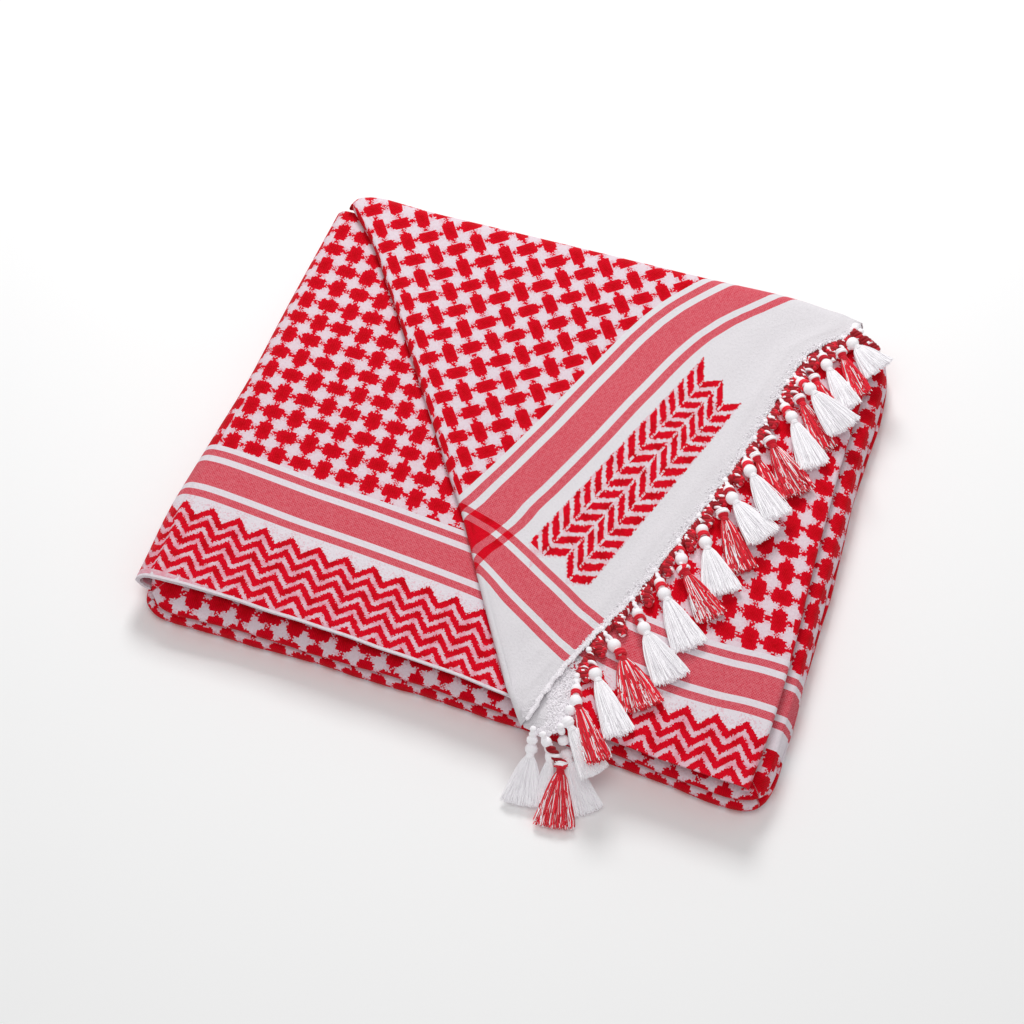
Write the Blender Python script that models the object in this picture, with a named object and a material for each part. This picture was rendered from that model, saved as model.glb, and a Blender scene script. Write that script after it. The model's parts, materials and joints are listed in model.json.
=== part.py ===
"""A cotton keffiyeh, folded into a flat stack with one tasselled corner turned over its top.

The cloth is counted in its own woven checks, as a weaver would: CHECK is the one real length,
and the tables below hold checks, with X to the right, Y to the back and Z up from the surface
that the stack lies on. Solids are made in metres.
"""

from collections import namedtuple
from math import cos, pi, radians, sin, sqrt

import bmesh
import bpy
from mathutils import Vector

# ---------------------------------------------------------------- driving dimensions
CHECK = 0.0142  # metres, from one woven check to the next
GAP = 0.0003 / CHECK  # left between two pieces that touch
CLOTH = 0.0020 / CHECK  # wall of the upper panel, a soft double weave
LEAF = 0.0015 / CHECK  # wall of each leaf of the turned-over corner
LEAF_SPACE = 0.0006 / CHECK  # air between those two leaves
STACK_HEIGHT = 0.0291 / CHECK  # surface to the top of the upper panel

RED = (0.62, 0.012, 0.03)
WHITE = (0.85, 0.82, 0.84)
PINK = (0.66, 0.18, 0.21)

# ---------------------------------------------------------------- tables, in checks
# Outermost line of the folded core in plan, from its front left corner and round to the right.
Point = namedtuple("Point", "x y")
CORE_OUTLINE = [
    Point(-12.78, -10.2), Point(-12.3, -11.05), Point(-11.2, -11.3), Point(-8.5, -11.17),
    Point(-4.0, -11.05), Point(0.0, -10.99), Point(3.3, -11.03), Point(6.75, -11.25),
    Point(10.0, -11.45), Point(11.9, -11.5), Point(12.8, -11.15), Point(13.08, -10.3),
    Point(13.06, -8.5), Point(12.9, -4.6), Point(12.64, 0.2), Point(12.35, 4.2),
    Point(12.3, 7.8), Point(12.05, 9.6), Point(11.3, 10.75), Point(9.4, 11.2),
    Point(6.9, 11.32), Point(3.2, 11.08), Point(-3.0, 10.78), Point(-9.2, 10.45),
    Point(-11.5, 10.3), Point(-12.22, 9.9), Point(-12.42, 8.8), Point(-12.42, 3.0),
    Point(-12.4, -1.0), Point(-12.68, -4.5), Point(-12.88, -7.7),
]
# How far each side of the core draws in from that line, from the surface up: the creases are
# where one fold ends and the next begins.
Level = namedtuple("Level", "z front right back left")
CORE_LEVELS = [
    Level(0.00, 0.38, 0.34, 0.34, 0.40),
    Level(0.08, 0.17, 0.18, 0.17, 0.22),
    Level(0.25, 0.03, 0.06, 0.04, 0.06),
    Level(0.45, 0.00, 0.00, 0.00, 0.00),
    Level(0.65, 0.07, 0.00, 0.04, 0.10),
    Level(0.80, 0.26, 0.03, 0.12, 0.50),
    Level(0.92, 0.12, 0.06, 0.04, 0.52),
    Level(1.08, 0.03, 0.12, 0.00, 0.50),
    Level(1.30, 0.05, 0.24, 0.00, 0.24),
    Level(1.46, 0.13, 0.48, 0.03, 0.18),
    Level(1.58, 0.22, 2.15, 0.05, 0.18),
    Level(1.69, 0.42, 2.25, 0.12, 0.24),
    Level(STACK_HEIGHT - CLOTH - GAP, 0.95, 2.30, 0.25, 0.42),
]
# Side edges of the upper panel: a deep soft fold on the left, a pressed one on the right.
Side = namedtuple("Side", "y left right")
PANEL_SIDES = [
    Side(-11.2, -13.15, 12.33),
    Side(-9.6, -13.2, 12.36),
    Side(-7.7, -13.3, 12.36),
    Side(-4.3, -13.1, 12.15),
    Side(-0.5, -12.82, 11.8),
    Side(4.0, -12.84, 11.5),
    Side(9.4, -12.75, 11.35),
]
# Front edge of the upper panel, which is the cloth's selvedge.
Lip = namedtuple("Lip", "x y")
PANEL_LIP = [
    Lip(-13.4, -10.5), Lip(-9.6, -10.36), Lip(-6.1, -10.39), Lip(-0.3, -10.5),
    Lip(2.5, -10.7), Lip(5.0, -11.0), Lip(7.0, -11.2), Lip(10.3, -11.3), Lip(12.6, -11.33),
]
# The turned-over corner, a row for each section from the back edge of the stack to its tip:
# where the rolled fold lies, and where each leaf's hem lies.
Section = namedtuple("Section", "fold_x fold_y hem_x hem_y under_x under_y")
FLAP_SECTIONS = [
    Section(-12.1, 9.55, 10.35, 10.45, 10.35, 10.45),
    Section(-10.5, 7.95, 9.20, 8.90, 9.20, 8.90),
    Section(-9.2, 6.27, 8.85, 7.45, 8.85, 7.45),
    Section(-7.7, 4.25, 8.45, 5.20, 8.45, 5.20),
    Section(-5.35, 1.0, 8.00, 2.90, 8.00, 2.90),
    Section(-3.25, -1.95, 7.40, 0.20, 7.40, 0.20),
    Section(-1.9, -3.8, 6.75, -2.20, 6.75, -2.20),
    Section(-0.25, -6.4, 6.05, -5.10, 6.05, -5.10),
    Section(1.1, -8.5, 5.20, -7.20, 5.20, -7.20),
    Section(2.0, -9.85, 4.60, -8.70, 4.92, -8.90),
    Section(2.5, -10.6, 4.10, -9.95, 4.97, -10.10),
    Section(3.1, -11.3, 3.78, -10.94, 5.10, -11.20),
    Section(3.45, -11.62, 3.66, -11.40, 4.50, -11.75),
]
# Heights on the back of the stack where the turned-over corner begins, below its round shoulder.
FLAP_BACK_HEIGHTS = [0.06, 0.45, 0.95]
SHOULDER = 0.60  # radius of that shoulder, inside the cloth

# Each tassel: where its root knot meets the hem, the headings and lengths of its neck and
# skirt, the skirt's width, and the heights of its bead and of the skirt's end.
Tassel = namedtuple(
    "Tassel", "name red leaf root_x root_y neck_turn neck skirt_turn skirt width bead_z end_z"
)
TASSELS = [
    Tassel("tassel_01_white", 0, "upper", 10.33, 10.50, -92, 0.75, -30, 1.30, 1.30, 2.42, 2.30),
    Tassel("tassel_02_red", 1, "upper", 9.80, 9.85, -75, 0.80, -50, 1.75, 0.68, 2.42, 2.26),
    Tassel("tassel_03_white", 0, "upper", 9.19, 9.00, -61, 0.80, -48, 1.85, 0.88, 2.42, 2.30),
    Tassel("tassel_04_red", 1, "upper", 8.93, 8.10, -59, 0.75, -48, 1.30, 0.55, 2.40, 2.24),
    Tassel("tassel_05_white", 0, "upper", 8.77, 7.53, -50, 0.95, -35, 2.00, 1.30, 2.80, 2.72),
    Tassel("tassel_06_red", 1, "upper", 8.57, 6.83, -52, 0.76, -47, 2.20, 0.77, 2.40, 2.24),
    Tassel("tassel_07_white", 0, "upper", 8.49, 5.99, -57, 0.90, -51, 2.17, 1.06, 2.45, 2.36),
    Tassel("tassel_08_red", 1, "upper", 8.23, 4.55, -68, 0.82, -47, 2.29, 1.12, 2.42, 2.28),
    Tassel("tassel_09_red", 1, "upper", 7.98, 3.60, -72, 0.75, -47, 1.80, 0.55, 2.40, 2.22),
    Tassel("tassel_10_white", 0, "upper", 7.90, 2.70, -66, 0.75, -43, 2.15, 1.18, 2.60, 2.66),
    Tassel("tassel_11_white", 0, "upper", 7.57, 1.20, -62, 0.74, -38, 1.92, 1.20, 2.55, 2.60),
    Tassel("tassel_12_red", 1, "upper", 7.38, 0.25, -50, 0.60, -55, 2.31, 0.94, 2.40, 2.24),
    Tassel("tassel_13_white", 0, "upper", 7.19, -0.75, -70, 1.05, -56, 2.00, 1.30, 2.42, 2.30),
    Tassel("tassel_14_red", 1, "upper", 6.70, -2.19, -68, 1.10, -43, 2.05, 1.00, 2.42, 2.28),
    Tassel("tassel_15_white", 0, "upper", 6.29, -3.67, -62, 1.00, -48, 2.18, 1.18, 2.42, 2.28),
    Tassel("tassel_16_white", 0, "upper", 5.89, -5.22, -58, 1.07, -45, 2.11, 1.30, 2.44, 2.34),
    Tassel("tassel_17_red", 1, "upper", 5.45, -6.61, -49, 0.80, -51, 2.10, 1.42, 2.42, 2.28),
    Tassel("tassel_18_white", 0, "under", 5.00, -7.85, -56, 1.02, -47, 2.15, 1.00, 2.42, 2.30),
    Tassel("tassel_19_red", 1, "under", 4.75, -9.03, -62, 1.06, -49, 1.88, 0.78, 2.42, 2.22),
    Tassel("tassel_20_white", 0, "under", 4.98, -10.2, -58, 0.94, -40, 1.45, 0.95, 2.40, 1.62),
    Tassel("tassel_21_red", 1, "tip", 4.40, -11.75, -40, 0.85, -78, 1.85, 1.18, 1.12, 0.24),
    Tassel("tassel_22_white", 0, "under", 5.05, -11.20, -46, 0.90, -50, 1.60, 0.94, 0.95, 0.24),
    Tassel("tassel_23_white", 0, "tip", 3.58, -11.68, -84, 0.40, -86, 1.55, 0.80, 1.22, 0.24),
    Tassel("tassel_24_white", 0, "tip", 4.02, -11.70, -56, 0.50, -84, 1.20, 0.42, 1.20, 0.22),
]
# A tassel's body from its root knot to the collar that holds the strands: distance past its
# root or, where the column says so, past the middle of its bead.
Ring = namedtuple("Ring", "past_bead along radius")
TASSEL_RINGS = [
    Ring(False, 0.00, 0.07),
    Ring(False, 0.08, 0.12),
    Ring(False, 0.22, 0.08),
    Ring(True, -0.22, 0.10),
    Ring(True, -0.09, 0.24),
    Ring(True, 0.09, 0.24),
    Ring(True, 0.21, 0.12),
    Ring(True, 0.30, 0.16),
]
ROOT_OFFSET = 0.060  # from the hem to the start of a root knot, past the gap
STRANDS_ACROSS = 5
STRANDS_HIGH = 2
SKIRT_HEIGHT = 0.22  # at its cut ends
STRAND_FILL = 0.80  # of its share of the skirt, so that strands stand apart
STRAND_STEPS = (0.5, 1.0)
ROOT_INSET = 0.012  # of each strand's cell in the collar
ROOT_SPREAD = 0.30  # of the skirt's full width where the strands leave the collar
ROOT_SIZE = 0.45  # of a strand's full thickness there


# ---------------------------------------------------------------- shared geometry
def spline(rows, samples, closed=False):
    """Evenly parametrised Catmull-Rom points through the rows, as lists of numbers."""
    rows = [list(row) for row in rows]
    if closed:
        ends = [rows[-1]] + rows + rows[:2]
        spans = len(rows)
    else:
        first = [2 * a - b for a, b in zip(rows[0], rows[1])]
        last = [2 * a - b for a, b in zip(rows[-1], rows[-2])]
        ends = [first] + rows + [last]
        spans = len(rows) - 1
    points = []
    for n in range(samples):
        at = n * spans / (samples if closed else samples - 1)
        i = min(int(at), spans - 1)
        t = at - i
        a, b, c, d = ends[i : i + 4]
        points.append([
            0.5 * (2 * q + (r - p) * t + (2 * p - 5 * q + 4 * r - s) * t**2
                   + (3 * q - p - 3 * r + s) * t**3)
            for p, q, r, s in zip(a, b, c, d)
        ])
    return points


def look_up(rows, at):
    """Linear reading of a table: the row whose first column is at, without that column."""
    rows = sorted(rows)
    low = max((r for r in rows if r[0] <= at), default=rows[0])
    high = min((r for r in rows if r[0] > at), default=rows[-1])
    t = (at - low[0]) / (high[0] - low[0]) if high[0] > low[0] else 0.0
    t = min(max(t, 0.0), 1.0)
    return [a + (b - a) * t for a, b in zip(low[1:], high[1:])]


def lip_y(x):
    return look_up(PANEL_LIP, x)[0]


def turned(degrees):
    """The level direction at this heading, counted from +X towards +Y."""
    return Vector((cos(radians(degrees)), sin(radians(degrees)), 0.0))


def loft(bm, rings):
    """Joins rings of equally many points by quads, and returns their vertices."""
    rows = [[bm.verts.new(Vector(p) * CHECK) for p in ring] for ring in rings]
    count = len(rows[0])
    for lower, upper in zip(rows, rows[1:]):
        for n in range(count):
            m = (n + 1) % count
            bm.faces.new((lower[n], lower[m], upper[m], upper[n]))
    return rows


def close_wall(bm, rows):
    """Closes both ends of a lofted wall, whose rings run out along one face and back inside."""
    for row in (rows[0], rows[-1]):
        for n in range(len(row) // 2 - 1):
            bm.faces.new((row[n], row[n + 1], row[-2 - n], row[-1 - n]))


def material(name, colour):
    made = bpy.data.materials.new(name)
    made.use_nodes = True
    shader = made.node_tree.nodes["Principled BSDF"]
    shader.inputs["Base Color"].default_value = (*colour, 1.0)
    shader.inputs["Roughness"].default_value = 0.85
    shader.inputs["Metallic"].default_value = 0.0
    return made


def finished(bm, name, colour):
    """Turns the mesh into a named, smooth-shaded object of one material."""
    bmesh.ops.recalc_face_normals(bm, faces=bm.faces)
    mesh = bpy.data.meshes.new(name)
    bm.to_mesh(mesh)
    bm.free()
    mesh.materials.append(material(name + "_cloth", colour))
    mesh.shade_smooth()
    mesh.set_sharp_from_angle(angle=radians(50))
    made = bpy.data.objects.new(name, mesh)
    bpy.context.scene.collection.objects.link(made)
    return made


# ---------------------------------------------------------------- the folded core
CORE_POINTS = 62  # round each level


def core_outline():
    return [tuple(point) for point in spline(CORE_OUTLINE, CORE_POINTS, closed=True)]


def core_ring(outline, level):
    """One level of the core: its outline drawn in along the normal by each side's own inset."""
    ring = []
    count = len(outline)
    for n, (x, y) in enumerate(outline):
        before = Vector(outline[n - 1])
        after = Vector(outline[(n + 1) % count])
        along = (after - before).normalized()
        out_x, out_y = along.y, -along.x
        side = level.right if out_x > 0 else level.left
        end = level.back if out_y > 0 else level.front
        inset = side * abs(out_x) + end * abs(out_y)
        ring.append((x - out_x * inset, y - out_y * inset, level.z))
    return ring


def make_core():
    """The hidden layers, as one rounded solid that shows its folds round the edge."""
    outline = core_outline()
    bm = bmesh.new()
    rows = loft(bm, [core_ring(outline, level) for level in CORE_LEVELS])
    bm.faces.new(rows[0])
    bm.faces.new(rows[-1])
    return finished(bm, "folded_core", RED)


# ---------------------------------------------------------------- the upper panel
PANEL_TOP = STACK_HEIGHT
DEEP_FOLD = 0.595  # outer radius of the left fold
PRESSED_FOLD = 0.17  # outer radius of the right fold
TURN_UNDER = 0.12  # cloth that goes back under at the right
PANEL_STATIONS = 14  # sections from the front edge to the back
PANEL_SPANS = 9  # across its flat top


def fold_arc(centre, radius, first, steps):
    """(x, z) round half a turn from the first angle, anticlockwise."""
    angles = [first + pi * n / steps for n in range(steps + 1)]
    return [(centre[0] + radius * cos(a), centre[1] + radius * sin(a)) for a in angles]


def panel_section(left, right, inner):
    """(x, z) along the panel from its turn-under on the right to the end of its left fold."""
    small = PRESSED_FOLD - inner
    deep = DEEP_FOLD - inner
    small_centre = (right - PRESSED_FOLD, PANEL_TOP - PRESSED_FOLD)
    deep_centre = (left + DEEP_FOLD, PANEL_TOP - DEEP_FOLD)
    points = [(right - PRESSED_FOLD - TURN_UNDER, small_centre[1] - small)]
    points += fold_arc(small_centre, small, -pi / 2, 6)
    span = deep_centre[0] - small_centre[0]
    for n in range(1, PANEL_SPANS):
        points.append((small_centre[0] + span * n / PANEL_SPANS, PANEL_TOP - inner))
    return points + fold_arc(deep_centre, deep, pi / 2, 10)


def make_panel():
    """The upper layer: selvedge along the front, folded down at both sides."""
    sections = []
    first, back = PANEL_SIDES[0].y, PANEL_SIDES[-1].y
    for n in range(PANEL_STATIONS):
        t = n / (PANEL_STATIONS - 1)
        left, right = look_up(PANEL_SIDES, first + (back - first) * t)
        ring = []
        for inner, order in ((0.0, 1), (CLOTH, -1)):
            for x, z in panel_section(left, right, inner)[::order]:
                front = lip_y(x)
                ring.append((x, front + (back - front) * t, z))
        sections.append(ring)
    bm = bmesh.new()
    rows = loft(bm, sections)
    close_wall(bm, rows)
    return finished(bm, "upper_panel", PINK)


# ---------------------------------------------------------------- the turned-over corner
FLAP_BASE = PANEL_TOP + GAP
PACK = 2 * LEAF + LEAF_SPACE  # thickness of the doubled cloth
FLAP_STATIONS = 25  # sections from the back edge to the tip
FLAP_SHARES = (1.0, 0.97, 0.86, 0.70, 0.54, 0.39, 0.26, 0.16, 0.08, 0.03)  # of its width
SHOULDER_ANGLES = (0, 22, 45, 68)
BACK_CLEARANCE = 0.07  # from the core's back to the cloth that covers it
DROP_START = 0.10  # past the panel's front edge
DROP_SQUARED = 0.55
DROP_FOURTH = 0.25
ROLL = 0.17  # radius of the soft fold at the corner's edge
ROLL_SHARE = 0.18  # of the width, where the upper leaf comes down from that fold
ROLL_STEPS = 6


def covered_back(x):
    """Where the turned-over corner's inner face stands on the back of the stack."""
    return look_up([p for p in core_outline() if p[1] > 9.5], x)[0] + BACK_CLEARANCE


def flap_drop(x, y):
    """How far the turned-over corner sinks where it passes the panel's front edge."""
    past = max(lip_y(x) - DROP_START - y, 0.0)
    return DROP_SQUARED * past**2 + DROP_FOURTH * past**4


def on_stack(x, y, up):
    """A point of the corner lying on the stack, this far above its underside."""
    drop = flap_drop(x, y)
    slope = min(1.6 * drop, 0.9)
    return Vector((x, y - slope * up, FLAP_BASE - drop + up * sqrt(1 - slope**2)))


def on_back(x, height, out):
    """A point of the corner on the upright back of the stack."""
    return Vector((x, covered_back(x) + out, height))


def on_shoulder(x, angle, out):
    """A point of the corner on the round shoulder, from 0 at the back to 90 degrees on top."""
    centre_y = covered_back(x) - SHOULDER
    radius = SHOULDER + out
    a = radians(angle)
    return Vector((x, centre_y + radius * cos(a), FLAP_BASE - SHOULDER + radius * sin(a)))


def flap_profile():
    """(share of the width from the fold, height, leaf) round the doubled cloth.

    It starts at the under leaf's hem, goes round the outside of the fold to the upper leaf's
    hem, and comes back on the inside.
    """
    outside = [(share, 0.0, "under") for share in FLAP_SHARES]
    outside += [(share, PACK, "upper") for share in FLAP_SHARES[::-1]]
    inside = [(share, PACK - LEAF, "upper") for share in FLAP_SHARES]
    inside += [(share, LEAF, "under") for share in FLAP_SHARES[::-1]]
    return outside, inside


def roll_arc(radius):
    """(distance from the outermost line, height) round the soft fold, from below to above."""
    arc = []
    for n in range(1, ROLL_STEPS):
        a = -pi / 2 - pi * n / ROLL_STEPS
        arc.append((ROLL + radius * cos(a), ROLL + radius * sin(a)))
    return arc


def flap_ring(place, fold, hem, under):
    """One section of the corner. place(x, y, height) puts a point on the stack or its back."""
    ends = {"upper": hem, "under": under}
    outside, inside = flap_profile()
    half = len(outside) // 2
    ring = []
    for part, radius, turn in ((outside, ROLL, 1), (inside, ROLL - LEAF, -1)):
        arc = roll_arc(radius)[::turn]
        points = []
        for share, height, leaf in part:
            if leaf == "upper":
                height += (2 * ROLL - PACK) * (1 - min(share / ROLL_SHARE, 1.0))
            points.append(place(fold + (ends[leaf] - fold) * share, height))
        along = (hem - fold).normalized()
        bend = [place(fold + along * distance, height) for distance, height in arc]
        ring += points[:half] + bend + points[half:]
    return ring


def back_rows():
    """(place, fold, hem) for the sections up the back and round the shoulder."""
    start = FLAP_SECTIONS[0]
    fold = Vector((start.fold_x, 0.0))
    hem = Vector((start.hem_x, 0.0))
    rows = []
    for height in FLAP_BACK_HEIGHTS:
        rows.append((lambda p, up, h=height: on_back(p.x, h, up), fold, hem))
    for angle in SHOULDER_ANGLES:
        rows.append((lambda p, up, a=angle: on_shoulder(p.x, a, up), fold, hem))
    return rows


def make_flap():
    """The corner turned over the top: two leaves joined by a soft fold, open at the hems."""
    rings = [flap_ring(place, fold, hem, hem) for place, fold, hem in back_rows()]
    for row in spline(FLAP_SECTIONS, FLAP_STATIONS):
        section = Section(*row)
        fold = Vector((section.fold_x, section.fold_y))
        hem = Vector((section.hem_x, section.hem_y))
        under = Vector((section.under_x, section.under_y))
        rings.append(flap_ring(lambda p, up: on_stack(p.x, p.y, up), fold, hem, under))
    bm = bmesh.new()
    rows = loft(bm, rings)
    close_wall(bm, rows)
    return finished(bm, "turned_corner", WHITE)


# ---------------------------------------------------------------- tassels
def hem_line(leaf):
    """Plan points along one hem: that of the upper leaf, of the under leaf, or round the tip."""
    sections = [Section(*row) for row in spline(FLAP_SECTIONS, 200)]
    if leaf == "upper":
        return [Vector((s.hem_x, s.hem_y)) for s in sections]
    if leaf == "under":
        return [Vector((s.under_x, s.under_y)) for s in sections]
    fold = Vector((sections[-1].fold_x, sections[-1].fold_y))
    under = Vector((sections[-1].under_x, sections[-1].under_y))
    return [fold.lerp(under, n / 40) for n in range(41)]


def root_place(tassel):
    """The middle of the root knot, which sits just off the nearest point of its hem."""
    line = hem_line(tassel.leaf)
    wanted = Vector((tassel.root_x, tassel.root_y))
    nearest = min(range(len(line)), key=lambda n: (line[n] - wanted).length)
    point = line[nearest]
    along = (line[min(nearest + 1, len(line) - 1)] - line[max(nearest - 1, 0)]).normalized()
    outward = Vector((along.y, -along.x))
    if outward.dot(turned(tassel.neck_turn).to_2d()) < 0:
        outward = -outward
    place = on_stack(point.x, point.y, PACK / 2)
    return place + outward.to_3d() * (ROOT_OFFSET + GAP)


def cell_edge():
    """Grid places (column, row) round the edge of the collar's cells, in order."""
    across, high = STRANDS_ACROSS, STRANDS_HIGH
    edge = [(i, 0) for i in range(across)]
    edge += [(across, j) for j in range(high)]
    edge += [(i, high) for i in range(across, 0, -1)]
    edge += [(0, j) for j in range(high, 0, -1)]
    return edge


def round_place(column, row):
    """That grid place on a disc of radius 1."""
    x = 2 * column / STRANDS_ACROSS - 1
    y = 2 * row / STRANDS_HIGH - 1
    return x * sqrt(1 - y * y / 2), y * sqrt(1 - x * x / 2)


def cap(bm, edge_row, centre, side, up, radius):
    """Closes a ring with the grid of cells that the strands grow from, and returns the cells."""
    places = dict(zip(cell_edge(), edge_row))
    for i in range(1, STRANDS_ACROSS):
        for j in range(1, STRANDS_HIGH):
            x, y = round_place(i, j)
            spot = centre + (side * x + up * y) * radius
            places[i, j] = bm.verts.new(spot * CHECK)
    cells = {}
    for i in range(STRANDS_ACROSS):
        for j in range(STRANDS_HIGH):
            corners = (places[i, j], places[i + 1, j], places[i + 1, j + 1], places[i, j + 1])
            cells[i, j] = bm.faces.new(corners)
    return cells


def grow_strands(bm, cells, start, along, side, up, tassel):
    """Draws each cell out into one strand that fans away from its neighbours."""
    faces = list(cells.values())
    bmesh.ops.inset_individual(bm, faces=faces, thickness=ROOT_INSET * CHECK)
    width_cell = tassel.width / STRANDS_ACROSS
    height_cell = SKIRT_HEIGHT / STRANDS_HIGH
    for (i, j), face in cells.items():
        across = i + 0.5 - STRANDS_ACROSS / 2
        above = j + 0.5 - STRANDS_HIGH / 2
        for step in STRAND_STEPS:
            made = bmesh.ops.extrude_discrete_faces(bm, faces=[face])
            face = made["faces"][0]
            spread = ROOT_SPREAD + (1 - ROOT_SPREAD) * step
            size = STRAND_FILL * (ROOT_SIZE + (1 - ROOT_SIZE) * step)
            middle = start + along * step + side * (across * width_cell * spread)
            middle += up * (above * height_cell * spread)
            centre = face.calc_center_median()
            corners = {v: v.co - centre for v in face.verts}
            for vert, arm in corners.items():
                right = side if arm.dot(side) > 0 else -side
                top = up if arm.dot(up) > 0 else -up
                half = right * (width_cell * size / 2) + top * (height_cell * size / 2)
                vert.co = (middle + half) * CHECK


def make_tassel(tassel):
    """One tassel: root knot, neck, bead and collar in one body, with its strands."""
    neck_way = turned(tassel.neck_turn)
    root = root_place(tassel)
    bead = root + neck_way * tassel.neck
    bead.z = tassel.bead_z
    end = bead + turned(tassel.skirt_turn) * (tassel.skirt + 0.3)
    end.z = tassel.end_z
    ways = {False: (bead - root).normalized(), True: (end - bead).normalized()}
    bm = bmesh.new()
    rings = []
    frames = []
    for ring in TASSEL_RINGS:
        way = ways[ring.past_bead and ring.along > 0]
        side = way.cross(Vector((0, 0, 1))).normalized()
        up = side.cross(way)
        centre = (bead if ring.past_bead else root) + way * ring.along
        rings.append([
            centre + (side * x + up * y) * ring.radius
            for x, y in (round_place(*spot) for spot in cell_edge())
        ])
        frames.append((centre, side, up, ring.radius))
    rows = loft(bm, rings)
    cap(bm, rows[0], *frames[0])
    cells = cap(bm, rows[-1], *frames[-1])
    start, side, up, _ = frames[-1]
    grow_strands(bm, cells, start, end - start, side, up, tassel)
    return finished(bm, tassel.name, RED if tassel.red else WHITE)


def main():
    for old in list(bpy.data.objects):
        bpy.data.objects.remove(old)
    make_core()
    make_panel()
    make_flap()
    for tassel in TASSELS:
        make_tassel(tassel)


main()
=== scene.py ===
"""A cotton keffiyeh, folded flat, with one tasselled corner turned over its top.

The cloth is counted in its own woven checks, as a weaver would: CHECK is the one real length
and the tables hold checks, with X to the right, Y to the back and Z up from the surface that
the stack lies on. Meshes are made in metres.
"""

import json
import logging
from collections.abc import Callable, Sequence
from dataclasses import asdict, dataclass, field, replace
from enum import Enum
from math import cos, exp, hypot, pi, radians, sin
from typing import Any, NamedTuple

import bmesh
import bpy
import numpy as np
from bpy.types import Material, Mesh, NodeSocket, NodeTree, Object
from mathutils import Matrix, Vector

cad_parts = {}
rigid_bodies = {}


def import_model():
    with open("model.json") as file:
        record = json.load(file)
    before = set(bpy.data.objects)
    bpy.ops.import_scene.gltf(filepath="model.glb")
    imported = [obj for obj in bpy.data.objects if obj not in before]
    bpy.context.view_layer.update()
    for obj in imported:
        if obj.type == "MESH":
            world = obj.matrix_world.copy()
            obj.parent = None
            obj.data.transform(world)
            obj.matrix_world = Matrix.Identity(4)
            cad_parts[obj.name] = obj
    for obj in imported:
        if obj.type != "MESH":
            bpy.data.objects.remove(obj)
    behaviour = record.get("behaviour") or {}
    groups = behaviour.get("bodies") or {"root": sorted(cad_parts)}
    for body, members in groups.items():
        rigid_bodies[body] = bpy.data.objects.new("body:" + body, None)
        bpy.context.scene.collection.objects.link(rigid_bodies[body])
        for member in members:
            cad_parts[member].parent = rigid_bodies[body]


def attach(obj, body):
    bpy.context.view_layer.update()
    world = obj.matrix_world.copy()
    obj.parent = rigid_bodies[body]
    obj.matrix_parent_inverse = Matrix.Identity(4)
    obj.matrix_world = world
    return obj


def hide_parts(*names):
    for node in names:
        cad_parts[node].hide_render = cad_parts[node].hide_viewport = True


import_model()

log = logging.getLogger("keffiyeh")
Array = np.ndarray

# ---------------------------------------------------------------- driving dimensions
CHECK = 0.0142  # metres, from one woven check to the next
GAP = 0.0003 / CHECK
CLOTH = 0.0020 / CHECK  # the upper panel's wall in the frame
LEAF = 0.0015 / CHECK  # each leaf's wall of the turned-over corner in the frame
PACK = 2 * LEAF + 0.0006 / CHECK  # both leaves and the air between them
STACK_HEIGHT = 0.0291 / CHECK
FLAP_BASE = STACK_HEIGHT + GAP
BODY = "root"
TINY = 1e-9  # keeps a division by a length from failing


# ---------------------------------------------------------------- tables, in checks
class Point(NamedTuple):
    """A place in plan."""

    x: float
    y: float


class Level(NamedTuple):
    """How far each side of the core draws in from its outline at one height."""

    z: float
    front: float
    right: float
    back: float
    left: float


class Side(NamedTuple):
    """The upper panel's side edges at one distance to the back."""

    y: float
    left: float
    right: float


class Section(NamedTuple):
    """One section of the turned-over corner: its rolled fold and each leaf's hem."""

    fold_x: float
    fold_y: float
    hem_x: float
    hem_y: float
    under_x: float
    under_y: float


CORE_OUTLINE = [
    Point(-12.78, -10.2), Point(-12.3, -11.05), Point(-11.2, -11.3), Point(-8.5, -11.17),
    Point(-4.0, -11.05), Point(0.0, -10.99), Point(3.3, -11.03), Point(6.75, -11.25),
    Point(10.0, -11.45), Point(11.9, -11.5), Point(12.8, -11.15), Point(13.08, -10.3),
    Point(13.06, -8.5), Point(12.9, -4.6), Point(12.64, 0.2), Point(12.35, 4.2),
    Point(12.3, 7.8), Point(12.05, 9.6), Point(11.3, 10.75), Point(9.4, 11.2),
    Point(6.9, 11.32), Point(3.2, 11.08), Point(-3.0, 10.78), Point(-9.2, 10.45),
    Point(-11.2, 10.28), Point(-12.08, 9.82), Point(-12.42, 8.7), Point(-12.42, 3.0),
    Point(-12.4, -1.0), Point(-12.68, -4.5), Point(-12.88, -7.7),
]
CORE_TOP = STACK_HEIGHT - CLOTH - GAP
CORE_LEVELS = [
    Level(0.00, 0.38, 0.34, 0.34, 0.40),
    Level(0.08, 0.17, 0.18, 0.17, 0.22),
    Level(0.25, 0.03, 0.06, 0.04, 0.06),
    Level(0.45, 0.00, 0.00, 0.00, 0.00),
    Level(0.65, 0.07, 0.00, 0.04, 0.10),
    Level(0.80, 0.26, 0.03, 0.12, 0.50),
    Level(0.92, 0.12, 0.06, 0.04, 0.52),
    Level(1.08, 0.03, 0.12, 0.00, 0.50),
    Level(1.30, 0.05, 0.24, 0.00, 0.24),
    Level(1.46, 0.13, 0.48, 0.03, 0.18),
    Level(1.58, 0.22, 2.15, 0.05, 0.18),
    Level(1.69, 0.42, 2.25, 0.12, 0.24),
    Level(CORE_TOP, 0.95, 2.30, 0.25, 0.42),
]
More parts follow.
